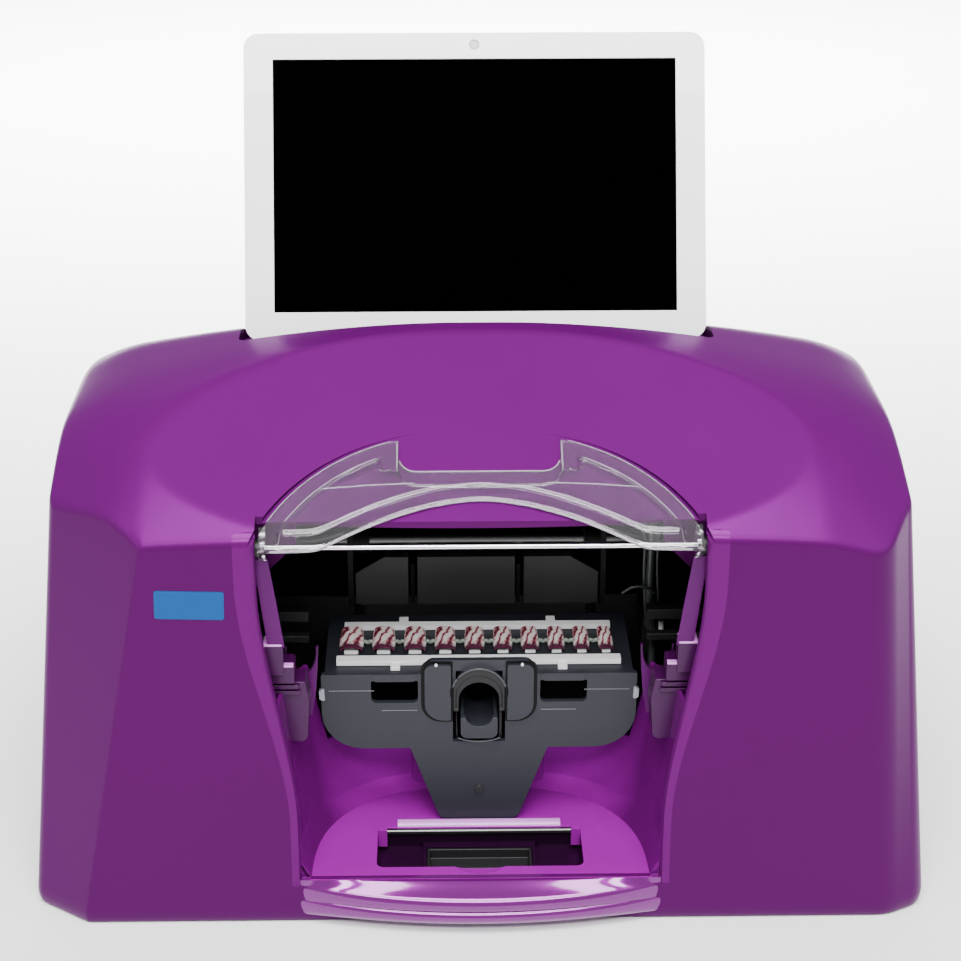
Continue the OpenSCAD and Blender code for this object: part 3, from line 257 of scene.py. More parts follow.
def fine_grain():
    """Fine noise as a bump, and a slower noise that darkens the colour and changes the gloss a little."""
    group, given, out = new_group("fine_grain", [("Color", "NodeSocketColor", (0.5, 0.5, 0.5, 1)),
        ("Grain size", "NodeSocketFloat", 900.0), ("Depth", "NodeSocketFloat", 0.1),
        ("Cloud", "NodeSocketFloat", 0.1), ("Gloss", "NodeSocketFloat", 0.4),
        ("Gloss change", "NodeSocketFloat", 0.1)],
        [("Color", "NodeSocketColor"), ("Roughness", "NodeSocketFloat"), ("Normal", "NodeSocketVector")])
    n, l = group.nodes, group.links
    place = n.new("ShaderNodeTexCoord")
    fine, slow = n.new("ShaderNodeTexNoise"), n.new("ShaderNodeTexNoise")
    slow.inputs["Scale"].default_value = 9
    slow.inputs["Detail"].default_value = 3
    l.new(place.outputs["Object"], fine.inputs["Vector"])
    l.new(place.outputs["Object"], slow.inputs["Vector"])
    l.new(given.outputs["Grain size"], fine.inputs["Scale"])
    bump = n.new("ShaderNodeBump")
    bump.inputs["Distance"].default_value = 0.0002
    l.new(given.outputs["Depth"], bump.inputs["Strength"])
    l.new(fine.outputs["Fac"], bump.inputs["Height"])
    l.new(bump.outputs["Normal"], out.inputs["Normal"])
    centred = n.new("ShaderNodeMath")
    centred.operation = "SUBTRACT"
    centred.inputs[1].default_value = 0.5
    l.new(slow.outputs["Fac"], centred.inputs[0])
    gloss = n.new("ShaderNodeMath")
    gloss.operation = "MULTIPLY_ADD"
    l.new(centred.outputs[0], gloss.inputs[0])
    l.new(given.outputs["Gloss change"], gloss.inputs[1])
    l.new(given.outputs["Gloss"], gloss.inputs[2])
    l.new(gloss.outputs[0], out.inputs["Roughness"])
    value = n.new("ShaderNodeMath")
    value.operation = "MULTIPLY_ADD"
    value.inputs[2].default_value = 1
    l.new(centred.outputs[0], value.inputs[0])
    l.new(given.outputs["Cloud"], value.inputs[1])
    tint = n.new("ShaderNodeHueSaturation")
    l.new(given.outputs["Color"], tint.inputs["Color"])
    l.new(value.outputs[0], tint.inputs["Value"])
    l.new(tint.outputs["Color"], out.inputs["Color"])
    return group


grain = fine_grain()


def finish(name, color, rough, depth=0.1, size=900.0, cloud=0.1, change=0.08, **sockets):
    """A Principled material whose colour, roughness and bump come from the shared grain group."""
    material = bpy.data.materials.new(name)
    material.use_nodes = True
    n, l = material.node_tree.nodes, material.node_tree.links
    shader = n["Principled BSDF"]
    for title, value in sockets.items():
        shader.inputs[title.replace("_", " ")].default_value = value
    effect = n.new("ShaderNodeGroup")
    effect.node_tree = grain
    for title, value in [("Color", (*color, 1)), ("Grain size", size), ("Depth", depth), ("Cloud", cloud),
                         ("Gloss", rough), ("Gloss change", change)]:
        effect.inputs[title].default_value = value
    l.new(effect.outputs["Color"], shader.inputs["Base Color"])
    l.new(effect.outputs["Roughness"], shader.inputs["Roughness"])
    l.new(effect.outputs["Normal"], shader.inputs["Normal"])
    return material


pearl = {"depth": 0.03, "size": 350, "cloud": 0.06, "Metallic": 0.25, "Specular_Tint": (0.8, 0.25, 0.85, 1)}
glossy = {"depth": 0.02, "size": 300, "cloud": 0.05, "Specular_Tint": (0.9, 0.08, 0.95, 1)}
pearl_purple = finish("pearl_purple", (0.06, 0.0014, 0.066), 0.34, Specular_IOR_Level=0.2, **pearl)
# Painted highlight: the opening's rolled bead is the casing's plastic painted a little lighter.
trim_pearl = finish("trim_pearl", (0.082, 0.0018, 0.088), 0.26, Specular_IOR_Level=0.3, **pearl)
niche_purple = finish("niche_purple", (0.25, 0.00005, 0.27), 0.14, Metallic=0.15, IOR=1.3, **glossy)
# The niche wall is the floor's plastic; its colour is replaced below by painted shade at the front and painted light
# at the back.
wall_painted_shading = finish("wall_painted_shading", (0.11, 0.0001, 0.118), 0.16, Metallic=0.2, IOR=1.35, **glossy)
# Painted shade: the cheek panels are the niche's plastic painted dark, as they lie in shade at the niche's sides.
cheek_painted_shade = finish("cheek_painted_shade", (0.07, 0.0001, 0.08), 0.32, depth=0.02, size=300, IOR=1.25)
sill_purple = finish("sill_purple", (0.13, 0.0001, 0.14), 0.19, depth=0.02, size=300, cloud=0.05,
                     Metallic=0.5, Specular_IOR_Level=0.4, Specular_Tint=(0.9, 0.3, 0.95, 1),
                     Coat_Weight=1.0, Coat_Roughness=0.08)
ledge_purple = finish("ledge_purple", (0.036, 0.0012, 0.040), 0.32, depth=0.03, size=300,
                      Specular_IOR_Level=0.25)
# Painted highlight: a pale pink standing for light along the lip behind the slot and the ledges' tops.
painted_highlight_pink = finish("painted_highlight_pink", (0.55, 0.20, 0.60), 0.15, depth=0.02, size=300)
# Painted highlight: a lighter grey for thin bars that stand for light along bends and rims of the tray.
painted_highlight_grey = finish("painted_highlight_grey", (0.048, 0.050, 0.060), 0.35, depth=0.1)
# Painted shade: the pocket under the slot is painted near black, as its inside lies in shade.
slot_painted_shade = finish("slot_painted_shade", (0.012, 0.0004, 0.013), 0.35, depth=0.02, size=300, Specular_IOR_Level=0.2)
charcoal = finish("charcoal_grain", (0.0165, 0.018, 0.0245), 0.46, depth=0.35, size=1600,
                  Specular_IOR_Level=0.35)
black_grain = finish("black_grain", (0.010, 0.010, 0.011), 0.42, depth=0.3, size=1500, Specular_IOR_Level=0.3)
deep_black = finish("deep_black", (0.004, 0.004, 0.0045), 0.5, depth=0.3, size=1500, Specular_IOR_Level=0.12)
dark_steel = finish("dark_steel", (0.10, 0.10, 0.10), 0.3, depth=0.05, size=600, Metallic=1.0)
black_coat = finish("black_powder_coat", (0.010, 0.010, 0.011), 0.5, depth=0.5, size=1100)
gloss_white = finish("gloss_white", (0.92, 0.92, 0.93), 0.25, depth=0.02, cloud=0.02, Coat_Weight=0.3)
satin_white = finish("satin_white", (0.80, 0.80, 0.81), 0.4, depth=0.1, cloud=0.04)
polished = finish("polished_steel", (0.78, 0.79, 0.80), 0.13, depth=0.05, size=600, cloud=0.05, Metallic=1.0)
ground_steel = finish("ground_steel", (0.56, 0.57, 0.58), 0.3, depth=0.15, size=700, Metallic=1.0)
zinc = finish("zinc_sheet", (0.50, 0.51, 0.52), 0.38, depth=0.2, size=60, cloud=0.3, Metallic=1.0)
bearing = finish("bearing_bronze", (0.50, 0.33, 0.14), 0.4, depth=0.4, size=2200, Metallic=0.9)
rubber = finish("soft_rubber", (0.012, 0.012, 0.012), 0.7, depth=0.4, size=800)
belt_black = finish("belt_rubber", (0.014, 0.014, 0.014), 0.6, depth=0.5, size=1400)
clip_grey = finish("clip_grey", (0.24, 0.25, 0.28), 0.35, depth=0.1)
board_green = finish("board_green", (0.01, 0.09, 0.04), 0.35, depth=0.3, size=120, cloud=0.2)
label_blue = finish("label_blue", (0.0006, 0.055, 0.21), 0.32, depth=0.03, cloud=0.03,
                    Specular_IOR_Level=0.15)
screen_black = finish("screen_glass", (0.00005, 0.00005, 0.00006), 0.3, depth=0.0, change=0.02,
                      Specular_IOR_Level=0.0)
lens_black = finish("lens_glass", (0.004, 0.004, 0.008), 0.05, depth=0.0, change=0.02, Coat_Weight=1.0)
clear = finish("clear_plastic", (0.94, 0.92, 0.95), 0.06, depth=0.02, size=120, cloud=0.02, change=0.03,
               Transmission_Weight=0.985, IOR=1.45)
# Painted highlight: a frosted, whiter clear plastic for thin lines along the visor's edges and steps.
clear_painted_highlight = finish("clear_painted_highlight", (0.93, 0.86, 0.95), 0.2, depth=0.02, size=120, cloud=0.02, change=0.03,
                    Transmission_Weight=0.8, IOR=1.45)


def color_by(material, source, socket, axis, low, high, dark, light):
    """The grain group's colour goes from dark to light while one coordinate runs from low to high."""
    n, l = material.node_tree.nodes, material.node_tree.links
    place, split, share, mix = [n.new("ShaderNode" + kind) for kind in (source, "SeparateXYZ", "MapRange",
                                                                        "Mix")]
    share.inputs["From Min"].default_value, share.inputs["From Max"].default_value = low, high
    mix.data_type = "RGBA"
    mix.inputs["A"].default_value, mix.inputs["B"].default_value = (*dark, 1), (*light, 1)
    l.new(place.outputs[socket], split.inputs[0])
    l.new(split.outputs[axis], share.inputs["Value"])
    l.new(share.outputs["Result"], mix.inputs["Factor"])
    l.new(mix.outputs["Result"], next(node for node in n if node.type == "GROUP").inputs["Color"])


# Painted light and shade: the niche wall is painted darker at the front and lighter at the back,
# where light falls on the back wall below the tray.
color_by(wall_painted_shading, "TexCoord", "Object", "Y", -0.145, -0.108, (0.10, 0.0001, 0.108), (0.34, 0.0001, 0.37))
# Painted light: the casing's upward faces are painted lighter and its upright faces darker, as light falls from
# above.
color_by(pearl_purple, "NewGeometry", "Normal", "Z", 0.15, 0.8, (0.056, 0.0013, 0.060),
         (0.086, 0.0012, 0.098))

slot_finish = {
    "shell_purple": pearl_purple, "niche_purple": niche_purple, "charcoal": charcoal,
    "black_plastic": black_grain,
    "black_metal": black_coat, "clear": clear, "white_bezel": gloss_white, "white_satin": satin_white,
    "screen_glass": screen_black, "lens_glass": lens_black, "steel": ground_steel, "chrome": polished,
    "bush": bearing, "clip_grey": clip_grey, "nail_acrylic": satin_white, "rubber_feet": rubber,
    "belt_rubber": belt_black, "board_green": board_green, "sheet_zinc": zinc}
slot_of = {s["node"]: s["material_slot"] for s in frame["record"]["subparts"]}
body_of = {n: b for b, listed in frame["record"]["behaviour"]["bodies"].items() for n in listed}
for name, obj in nodes.items():
    obj.data.materials.clear()
    obj.data.materials.append(slot_finish[slot_of[name]])
for name in ("guide_rod_front", "guide_rod_rear"):
    nodes[name].data.materials[0] = dark_steel
print("finishes ready:", len(slot_finish))

# %% [markdown]
# ## Casing
# The casing is one large moulding: leaning sides, a domed top and a shallow round scoop in front.
# Its skin is found column by column. Each column climbs the leaning side until it meets the top,
# turns over a rounded shoulder and runs on across the dome to a point behind the display. The
# rounding is a quadratic curve between the side, the meeting point and the top.
# %% Casing surface
FOOT = np.array([[-208, -199], [216, -199], [237.5, -188], [228, 212], [-228, 212], [-237.5, -179]], float)
LEAN = np.array([[55.5, 20.8], [-20.7, 20.8], [-24.5, 47.6], [-23.4, -16.7], [21.4, -16.7], [24.2, 53]],
                float)
CORNER = np.array([3, 26, 14, 40, 40, 9], float)
EDGE_Z, LEAN_H, CREST, BLEND = 8.0, 292.0, 286.4, 0.5
TILT = math.radians(31.3)
SCOOP_R = 2144.5
SCOOP_AT = np.array([0, -110, 260.1]) + SCOOP_R * np.array([0, -math.sin(TILT), math.cos(TILT)])


def inward(corners, d):
    """Each corner moved by d * (n1 + n2) / (1 + n1.n2), n1 and n2 being the inward unit normals of its edges."""
    ahead = np.roll(corners, -1, 0) - corners
    ahead /= np.linalg.norm(ahead, axis=1, keepdims=True)
    normal = np.stack([-ahead[:, 1], ahead[:, 0]], -1)
    before = np.roll(normal, 1, 0)
    return corners + (before + normal) * d / (1 + (before * normal).sum(1, keepdims=True))


def casing_outline(height, d, along):
    corners = inward(FOOT + LEAN * (height - EDGE_Z) / LEAN_H, d)
    return rounded(corners, np.maximum(CORNER - d, 0.8), 12, along)


def dome_height(x, y):
    """Crest height less the hypotenuse of two drops: a square law sideways with a steeper shoulder past 179 mm,
    and a 1.8 power law to the front or a straight slope with a rounded start to the back. The front corners fall
    a further 16 mm on the left and 7 mm on the right by a smooth step past x 168 and y -95."""
    sideways = 23.3 * (x / 192) ** 2 + 0.0062 * np.maximum(0, np.abs(x) - 179.4) ** 2
    ahead = 67.5 * (np.maximum(0, -55 - y) / 129) ** 1.8
    back = 0.6 * (np.hypot(np.maximum(0, y + 55), 8) - 8)
    corner = np.where(x < 0, 16, 7) * smooth_step((np.abs(x) - 168) / 50) * smooth_step((-95 - y) / 60)
    return CREST - np.hypot(sideways, ahead + back) - corner


def scoop_height(x, y):
    """Underside of a very large sphere whose centre stands high above the front."""
    return SCOOP_AT[2] - np.sqrt(SCOOP_R ** 2 - x * x - (y - SCOOP_AT[1]) ** 2)


def top_height(x, y, lower):
    """The lower of dome and scoop, their crossing rounded where they lie less than BLEND apart. Inside the wall
    the scoop needs nine tenths of the dome's step, as the dome's shoulders are steeper."""
    a, b = dome_height(x, y) - lower, scoop_height(x, y) - lower * 0.9
    near = np.maximum(BLEND - np.abs(a - b), 0) / BLEND
    return np.minimum(a, b) - near * near * BLEND / 4


def casing_solid(d, lower, low, along, side_rows, top_rows):
    """Solid under the top and inside the sides moved inwards by d, its bottom edge at height low."""
    foot = casing_outline(EDGE_Z, d, along)
    lean = (casing_outline(EDGE_Z + LEAN_H, d, along) - foot) / LEAN_H
    low_z, high_z = np.full(len(foot), 40.0), np.full(len(foot), 300.0)
    for _ in range(40):
        mid = (low_z + high_z) / 2
        p = foot + lean * (mid - EDGE_Z)[:, None]
        above = mid > top_height(p[:, 0], p[:, 1], lower)
        high_z, low_z = np.where(above, mid, high_z), np.where(above, low_z, mid)
    meet_z = low_z
    meet = foot + lean * (meet_z - EDGE_Z)[:, None]
    pole = np.array([0.0, 60.0])
    reach = np.linalg.norm(pole - meet, axis=1)
    turn = 3.0 + 4.0 * smooth_step((meet[:, 1] + 165) / 110) * smooth_step((np.abs(meet[:, 0]) - 60) / 60)
    turn = np.where(meet[:, 1] > 100, 12.0, turn)
    t = np.linspace(0, 1, side_rows)[:, None]
    side_z = EDGE_Z + (meet_z - turn - EDGE_Z) * t
    sides = np.dstack([foot + lean * (side_z - EDGE_Z)[..., None], side_z])
    w = turn / reach + (1 - turn / reach) * np.linspace(0, 1, top_rows + 1)[:-1, None]
    flat = meet + (pole - meet) * w[..., None]
    top = np.dstack([flat, top_height(flat[..., 0], flat[..., 1], lower)])
    s = np.linspace(0, 1, 9)[1:-1, None, None]
    corner = np.column_stack([meet, meet_z])
    shoulder = (1 - s) ** 2 * sides[-1] + 2 * s * (1 - s) * corner + s ** 2 * top[0]
    if d == 0:
        a = np.linspace(0, np.pi / 2, 6)[:-1]
        inset, drop = 2 * (1 - np.sin(a)), 7.4 * np.cos(a)
        under = np.stack([np.column_stack([casing_outline(EDGE_Z, i, along), np.full(len(foot), EDGE_Z - h)])
                          for i, h in zip(inset, drop)])
    else:
        under = np.column_stack([foot, np.full(len(foot), low)])[None]
    rings = np.concatenate([under, sides, shoulder, top])
    rows, cols = rings.shape[:2]
    tip = np.array([[0, 60, float(top_height(np.array(0.0), np.array(60.0), lower))]])
    edge = np.arange(cols) + (rows - 1) * cols
    fan = np.stack([edge, np.roll(edge, -1), np.full(cols, rows * cols)], -1)
    return np.concatenate([rings.reshape(-1, 3), tip]), [grid_faces(rows, cols, True), np.arange(cols)[::-1],
                                                         fan]


# %% [markdown]
# The front opening narrows downwards in an S curve. Its edge is a rolled bead, wide at the top and
# fading out at the foot. The casing is cut along the bead's outer line and the bead is a surface
# of its own, because a Boolean edge alone would stay knife sharp where the real one catches light.
# %% Casing with its openings
def opening_half(z):
    """Half width of the opening: 94 mm below, 112 mm above, joined by an S curve from z 58 to 193."""
    return 94 + 18 * smooth_step((z - 58) / 135)


def bead_width(z):
    return 5.0 + 6.0 * smooth_step((z - 60) / 150)


def front_face(z):
    return -199 + 20.8 * (z - EDGE_Z) / LEAN_H


def mouth_cut(half, start, depth):
    """Solid over |x| <= half(z), from far in front to y = start + depth * (the leaning face's y at that height)."""
    z = np.linspace(22.7, 245, 90)
    z = np.concatenate([z, [330, 330], z[::-1]])
    x = half(np.minimum(z, 245)) * np.repeat([1, -1], len(z) // 2)
    return loft(np.stack([np.column_stack([x, 0 * x - 300, z]),
                          np.column_stack([x, start + depth * front_face(z), z])]))


visor_tilt = math.radians(30.5)
VISOR_AT = np.array([0, -186.0, 217.0])


def from_visor(points):
    """Points given as across, up the slope and off it, turned by the scoop's slope and set at the hinge line."""
    c, s = math.cos(visor_tilt), math.sin(visor_tilt)
    x, up, off = points[..., 0], points[..., 1], points[..., 2]
    return np.stack([x, up * c - off * s, up * s + off * c], -1) + VISOR_AT


def circle(radius, n=120):
    a = np.linspace(0, 2 * np.pi, n, endpoint=False)
    return radius * np.column_stack([np.cos(a), np.sin(a)])


def full_circle(radius, n):
    """Superellipse of power 2.25, a circle a little fuller at its shoulders, centred 53 below the hinge line."""
    c = circle(1, n)
    return radius * np.sign(c) * np.abs(c) ** (2 / 2.25) + [0, -53]


park, park_faces = prism(full_circle(124.5, 160), -1.4, 40)
panel_cut = prism(rectangle(-114.5, 17.5, 114.5, 116.5), 190, 217, "y")
well = rectangle(-127, -61, 127, -20, 4)
well_wall = rectangle(-130.5, -64.5, 130.5, -16.5, 7)
# Four screw bosses stand 9.5 mm inside the sides, which draw in by 9.5 mm over their 391 mm of length.
boss_at = [[s * (234.5 - 9.5 * (y + 179) / 391 - 9.5), y] for s in (-1, 1) for y in (-110, 70)]
bosses = [prism(circle(7, 24) + at, 7.3, 29.3) for at in boss_at]
boss_holes = [prism(circle(1.8, 16) + at, -2, 27) for at in boss_at]
inside = mesh_from("inside", *casing_solid(3.5, 4.4, -2.0, (40, 4, 20, 30, 20, 4), 16, 30))
inside = carve(inside, prism(well_wall, 258.5, 330), panel_cut, *bosses)
whole = mesh_from("skin", *casing_solid(0, 0, 3.0, (130, 10, 56, 48, 56, 10), 48, 140))
skin = carve(whole, inside, prism(well, 262, 330), (from_visor(park), park_faces),
             mouth_cut(opening_half, -172, 0),
             mouth_cut(lambda z: opening_half(z) + bead_width(z), 3.6, 1),
             prism(rectangle(-111, 21, 111, 113, 3), 182, 220, "y"), *boss_holes)
casing = piece("casing_skin", skin, pearl_purple, stands_for=["shell"], angle=24)
print("casing", len(casing.data.polygons), "faces")

# %% [markdown]
# The bead follows the opening from the sill to the scoop. On the mould it is one smooth roll, so
# each height gets the same quarter ellipse, scaled to the bead's width there, with a slight swell
# that stands proud of the face and draws the pale line that the photograph shows.
# %% Rolled edge of the opening
def edge_strip(side):
    """Across the bead x runs from its outer line to the opening by s and y falls back by 3 (1 - sqrt(1 - s^2)),
    less a swell of 1.5 sin(pi s). The last columns close the strip behind the face."""
    z = np.linspace(22.7, 232, 90)[:, None]
    s = np.sin(np.linspace(0, np.pi / 2, 12))[None]
    half, width, face = opening_half(z), bead_width(z), front_face(z)
    across = np.concatenate([width * (1 - s), width * [[0, 0.5, 1]]], 1)
    back = np.concatenate([3 * (1 - np.sqrt(1 - s * s)) - 1.5 * np.sin(np.pi * s) + 0 * z,
                           [[4.1, 4.1, 3.4]] + 0 * z], 1)
    return loft(np.dstack([side * (half + across), face + back, z + 0 * back]))


trim = [carve(mesh_from("strip", *edge_strip(side)), (from_visor(park), park_faces),
              keep=whole) for side in (-1, 1)]
for side, mesh in zip(("left", "right"), trim):
    # The bead's lighter colour is a painted highlight, besides the light its swell catches.
    piece("opening_trim_" + side, mesh, trim_pearl, angle=40)
print("opening trim", len(trim[0].polygons), "faces a side")

# %% [markdown]
# ## Niche
# The niche is a glossy cup moulded in a brighter purple. In plan it is a superellipse that widens
# upwards, with a soft fillet at the floor. Its upper edge is level under the ledges, dips in a
# scallop on each side for the tray's ends and runs low round the back. Each upright column of
# points is a closed section: up the inside, over the half-round rim and down the outside.
# %% Niche wall
FLOOR_Z, FILLET, CUP_T = 26.0, 5.0, 2.5


def niche_point(q, z, grow):
    """Superellipse of power 2.6: x = a cos(q)^(2/2.6) and y = b sin(q)^(2/2.6), a and b growing with height."""
    t = (z - FLOOR_Z) / 124
    a, b = 94 + 11 * t + grow, 90 + 4 * t + grow
    return np.stack([-a * np.sign(np.cos(q)) * np.abs(np.cos(q)) ** (1 / 1.3),
                     -196 + b * np.abs(np.sin(q)) ** (1 / 1.3), z + 0 * q], -1)


def niche_angle(y, z, grow):
    """The angle q at which the left wall passes y, from sin(q) = ((y + 196) / b)^1.3."""
    return np.arcsin(np.clip((y + 196) / (90 + 4 * (z - FLOOR_Z) / 124 + grow), 0, 1) ** 1.3)


def rim_height(y):
    """Height of the cup's upper edge along its side, from the ledges at the front to the low back wall."""
    ledges = np.interp(y, [-181, -163, -159], [125.5, 124.5, 123])
    scallop = 123 - 0.5 * np.sqrt(np.maximum(56.25 - (y + 151.5) ** 2, 0))
    back = np.interp(y, [-139.5, -136.5, -133], [121, 96, 71])
    return np.select([y < -159, y < -144, y < -139.5], [ledges, scallop, 122], back)


dip = -151.5 - 7.49 * np.cos(np.linspace(0, np.pi, 21))
line_y = np.concatenate([np.full(4, -181), np.linspace(-181, -173, 5), np.linspace(-172, -159.1, 7), dip,
                         np.linspace(-143.9, -139.6, 4), np.linspace(-139.4, -131, 5), np.full(22, -131)])
ahead = np.concatenate([np.linspace(0, 0.75, 4), np.ones(len(line_y) - 4)])
around = np.concatenate([np.zeros(len(line_y) - 22), np.linspace(0, 1, 23)[1:]])
top = rim_height(line_y) - 6 * smooth_step((around - 0.5) / 0.25)
a = np.linspace(np.pi / 2, 0, 7)
foot_z, foot_in = FLOOR_Z + FILLET * (1 - np.sin(a)), FILLET * (np.cos(a) - 1)
rise = np.linspace(0, 1, 20)[1:]


def wall_rows(z, grow):
    """Points of every left column at heights z, each column held at its own y or turned round the back."""
    seat = front_face(z) + 3.8
    q = niche_angle(seat + (line_y[:, None] - seat) * ahead[:, None], z, grow)
    return niche_point(q + (np.pi / 2 - q) * around[:, None], z, grow)


foot_rows = np.column_stack([np.full(len(top), 23.5), np.repeat(foot_z[None, ::-1], len(top), 0)])
foot_grow = np.concatenate([[-FILLET], foot_in[::-1]])[None]
inner = np.concatenate([wall_rows(foot_rows, foot_grow), wall_rows(31 + (top[:, None] - 31) * rise, 0.0)], 1)
outer = wall_rows(np.column_stack([31 + (top[:, None] - 31) * rise[::-1], np.full(len(top), 23.5)]), CUP_T)
turn = np.linspace(0, np.pi, 9)[1:-1, None]
middle, span = (inner[:, -1:] + outer[:, :1]) / 2, (outer[:, :1] - inner[:, -1:]) / 2
rim = middle - span * np.cos(turn) + np.array([0, 0, CUP_T / 2]) * np.sin(turn)
left = np.concatenate([inner, rim, outer], 1)
wall = loft(np.concatenate([left, left[-2::-1] * [-1, 1, 1]]))
piece("niche_wall", wall, wall_painted_shading, stands_for=["niche_liner"], angle=40)
print("niche wall", 2 * len(left) - 1, "columns")

# %% [markdown]
# The floor carries a rounded slot with a thumb dish in front of it, and below the slot a box with
# three compartments. In front the floor runs out over a two-step sill. Every line of the sill is
# an arc of its own chord and reach, so both noses bow forward and fade out at the sides.
# %% Niche floor, pocket and sill
def bowed(w, chord, reach, s):
    """Arc over a chord of half width w: y = chord - reach + R - sqrt(R^2 - x^2), R = (w^2 + reach^2) / (2 reach)."""
    big = (w * w + reach * reach) / (2 * reach)
    return w * s, chord - reach + big - np.sqrt(big * big - (w * s) ** 2)


q = np.linspace(niche_angle(-188, 26.0, -4.9), np.pi - niche_angle(-188, 26.0, -4.9), 90)
d_shape = np.concatenate([[[90.4, -197], [90.4, -192.5]], niche_point(q, 26.0, -4.9)[::-1, :2],
                          [[-90.4, -192.5], [-90.4, -197]]])
r = np.linspace(17.5, 0.4, 14)
dish = np.stack([np.dstack([circle(k, 48)[None] + [0, -175]])[0] for k in r])
dish_z = 26.02 - 1.7 * np.sqrt(1 - (r / 17.5) ** 2)
dish = np.concatenate([np.concatenate([dish[:1], np.full((1, 48, 1), 28.0)], 2),
                       np.concatenate([dish, np.broadcast_to(dish_z[:, None, None], (14, 48, 1))], 2)])
slab = carve(mesh_from("slab", *prism(d_shape, 23.5, 26)), prism(rectangle(-55, -186, 55, -150, 4), 20, 30),
             loft(dish))
round_edges(piece("niche_floor", slab, niche_purple, angle=25), 0.7)
pocket = carve(mesh_from("pocket", *prism(rectangle(-57, -188, 57, -148, 5), 7.6, 23.6)),
               prism(rectangle(-55, -186, 55, -150, 4), 17, 30),
               prism(rectangle(-28.7, -186, 28.7, -155.7, 1), 9.2, 18),
               prism(rectangle(-55, -186, -30.4, -150, 3), 14, 18),
               prism(rectangle(30.4, -186, 55, -150, 3), 14, 18))
round_edges(piece("slot_pocket", pocket, slot_painted_shade, angle=25), 0.5)

k = np.radians(np.linspace(-35, 75, 20))
nose = [(101, -197, 7.5, 5.0), (101, -197, 11, 5.6), (101, -197, 13.2, 6.7)]
nose += [(101, -197, 10.8 + 4 * c, 10.1 + 4 * t) for c, t in zip(np.cos(k), np.sin(k))]
k = np.radians(np.linspace(-20, 68, 20))
lip = [(98, -197, 8.1 + 5.5 * c, 16.2 + 5.5 * t) for c, t in zip(np.cos(k), np.sin(k))]
section = np.array([*nose, (99, -197, 12.4, 14.15), *lip, (97, -197, 8.4, 22.05), (96.5, -197, 6.2, 23.1),
                    (96, -197, 3.8, 24.3), (95.5, -197, 1.9, 25.3), (95.2, -197, 0.7, 25.85),
                    (95, -196.3, 0.02, 26.02),
                    (95, -193.5, 0.02, 26.02), (95, -193.5, 0.02, 22.9), (95.5, -196.4, 0.02, 22.8),
                    (97, -196.4, 0.02, 5.0)])
s = np.sin(np.linspace(-np.pi / 2, np.pi / 2, 81))[:, None]
x, y = bowed(*section[:, :3].T, s)
sill = loft(np.dstack([x, y, section[:, 3] + 0 * x]))
piece("sill", sill, sill_purple, angle=30)
print("floor, pocket and sill made")

# %% [markdown]
# On both sides of the niche small ledges and a grooved pillar stand inside the wall, where the real
# moulding guides a hand rest. A raised plate on the back wall frames the tray's tongue.
# %% Ledges, pillars and back plate
def side_blocks(side):
    def block(outline, front, back):
        return prism(np.array(outline) * [side, 1], front, back, "y")

    pillar = [[107, 132], [107, 122], [103, 97], [90, 95.5], [88.3, 120], [90.2, 132]]
    return [block(rounded([[111, 156.4], [111, 139], [100.5, 139], [100.5, 156.4]], [1, 1, 1, 1.5]), -178,
                  -168),
            block(rounded([[108.5, 143], [108, 133], [95.3, 133], [95.3, 143]], [1, 1, 1, 1.5]), -176, -162),
            block(rounded([[107.5, 131.5], [107.3, 129], [93.3, 129], [93.3, 131.5]], 0.8), -175, -162),
            block(rounded([[107, 127.5], [106.8, 125], [92.6, 125], [92.6, 127.5]], 0.8), -174.2, -162),
            block(rounded(pillar, [1, 1, 2, 4, 1, 1]), -172.5, -158)]


# Thin strips on the ledges' tops carry a painted highlight.
cap_places = ((110.6, 100.9, 156.2, -178.2, -168.2), (108.2, 95.6, 142.8, -176.2, -172.5))
caps = [prism(np.array(rounded([[x0, z], [x0, z + 1], [x1, z + 1], [x1, z]], 0.4)) * [s, 1], front, back, "y")
        for s in (-1, 1) for x0, x1, z, front, back in cap_places]
round_edges(piece("ledge_highlight_strips", joined(*caps), painted_highlight_pink, angle=30), 0.3)
for side, name in ((-1, "left"), (1, "right")):
    blocks = piece("side_ledges_" + name, joined(*side_blocks(side)), ledge_purple, angle=30)
    round_edges(blocks, 0.5)


def cheek(side):
    """Upright panel facing the front: its top edge dips in a U from the ledges to a thin prong beside the tray, and
    is drawn as half an ellipse, x = 93.2 + 8.2 cos(a), z = 140.5 - 16.2 sin(a), with a rolled rim along it. A second
    panel in front of it closes the cup's shoulder above the ledges."""
    a = np.linspace(0, np.pi, 25)
    dip = np.column_stack([93.2 + 8.2 * np.cos(a), 140.5 - 16.2 * np.sin(a) ** 0.8])
    panel = np.concatenate([dip, [[84.4, 141], [84.9, 128], [86.3, 112], [88.6, 99], [96, 99], [98.5, 127],
                                  [101.4, 141]]])
    roll = np.column_stack([dip[:, 0], np.full(25, -150.6), dip[:, 1]])
    strip = rounded([[113.5, 206], [106.3, 206], [103, 182], [99.6, 155], [108, 155]], 0.8)
    return (joined(prism(panel * [side, 1], -151.2, -149.4, "y"),
                   prism(strip * [side, 1], -177.4, -176, "y")),
            tube(roll * [side, 1, 1], 0.75, 12))


for side, name in ((-1, "left"), (1, "right")):
    panel, roll = cheek(side)
    piece("cheek_" + name, panel, cheek_painted_shade, angle=30)
    piece("cheek_rim_" + name, roll, ledge_purple, angle=60)
plate = piece("back_plate", prism(rectangle(-37, 25, 37, 60.5, 3), -110.8, -103, "y"), niche_purple)
round_edges(plate, 2.2, segments=5)
print("side blocks and back plate made")

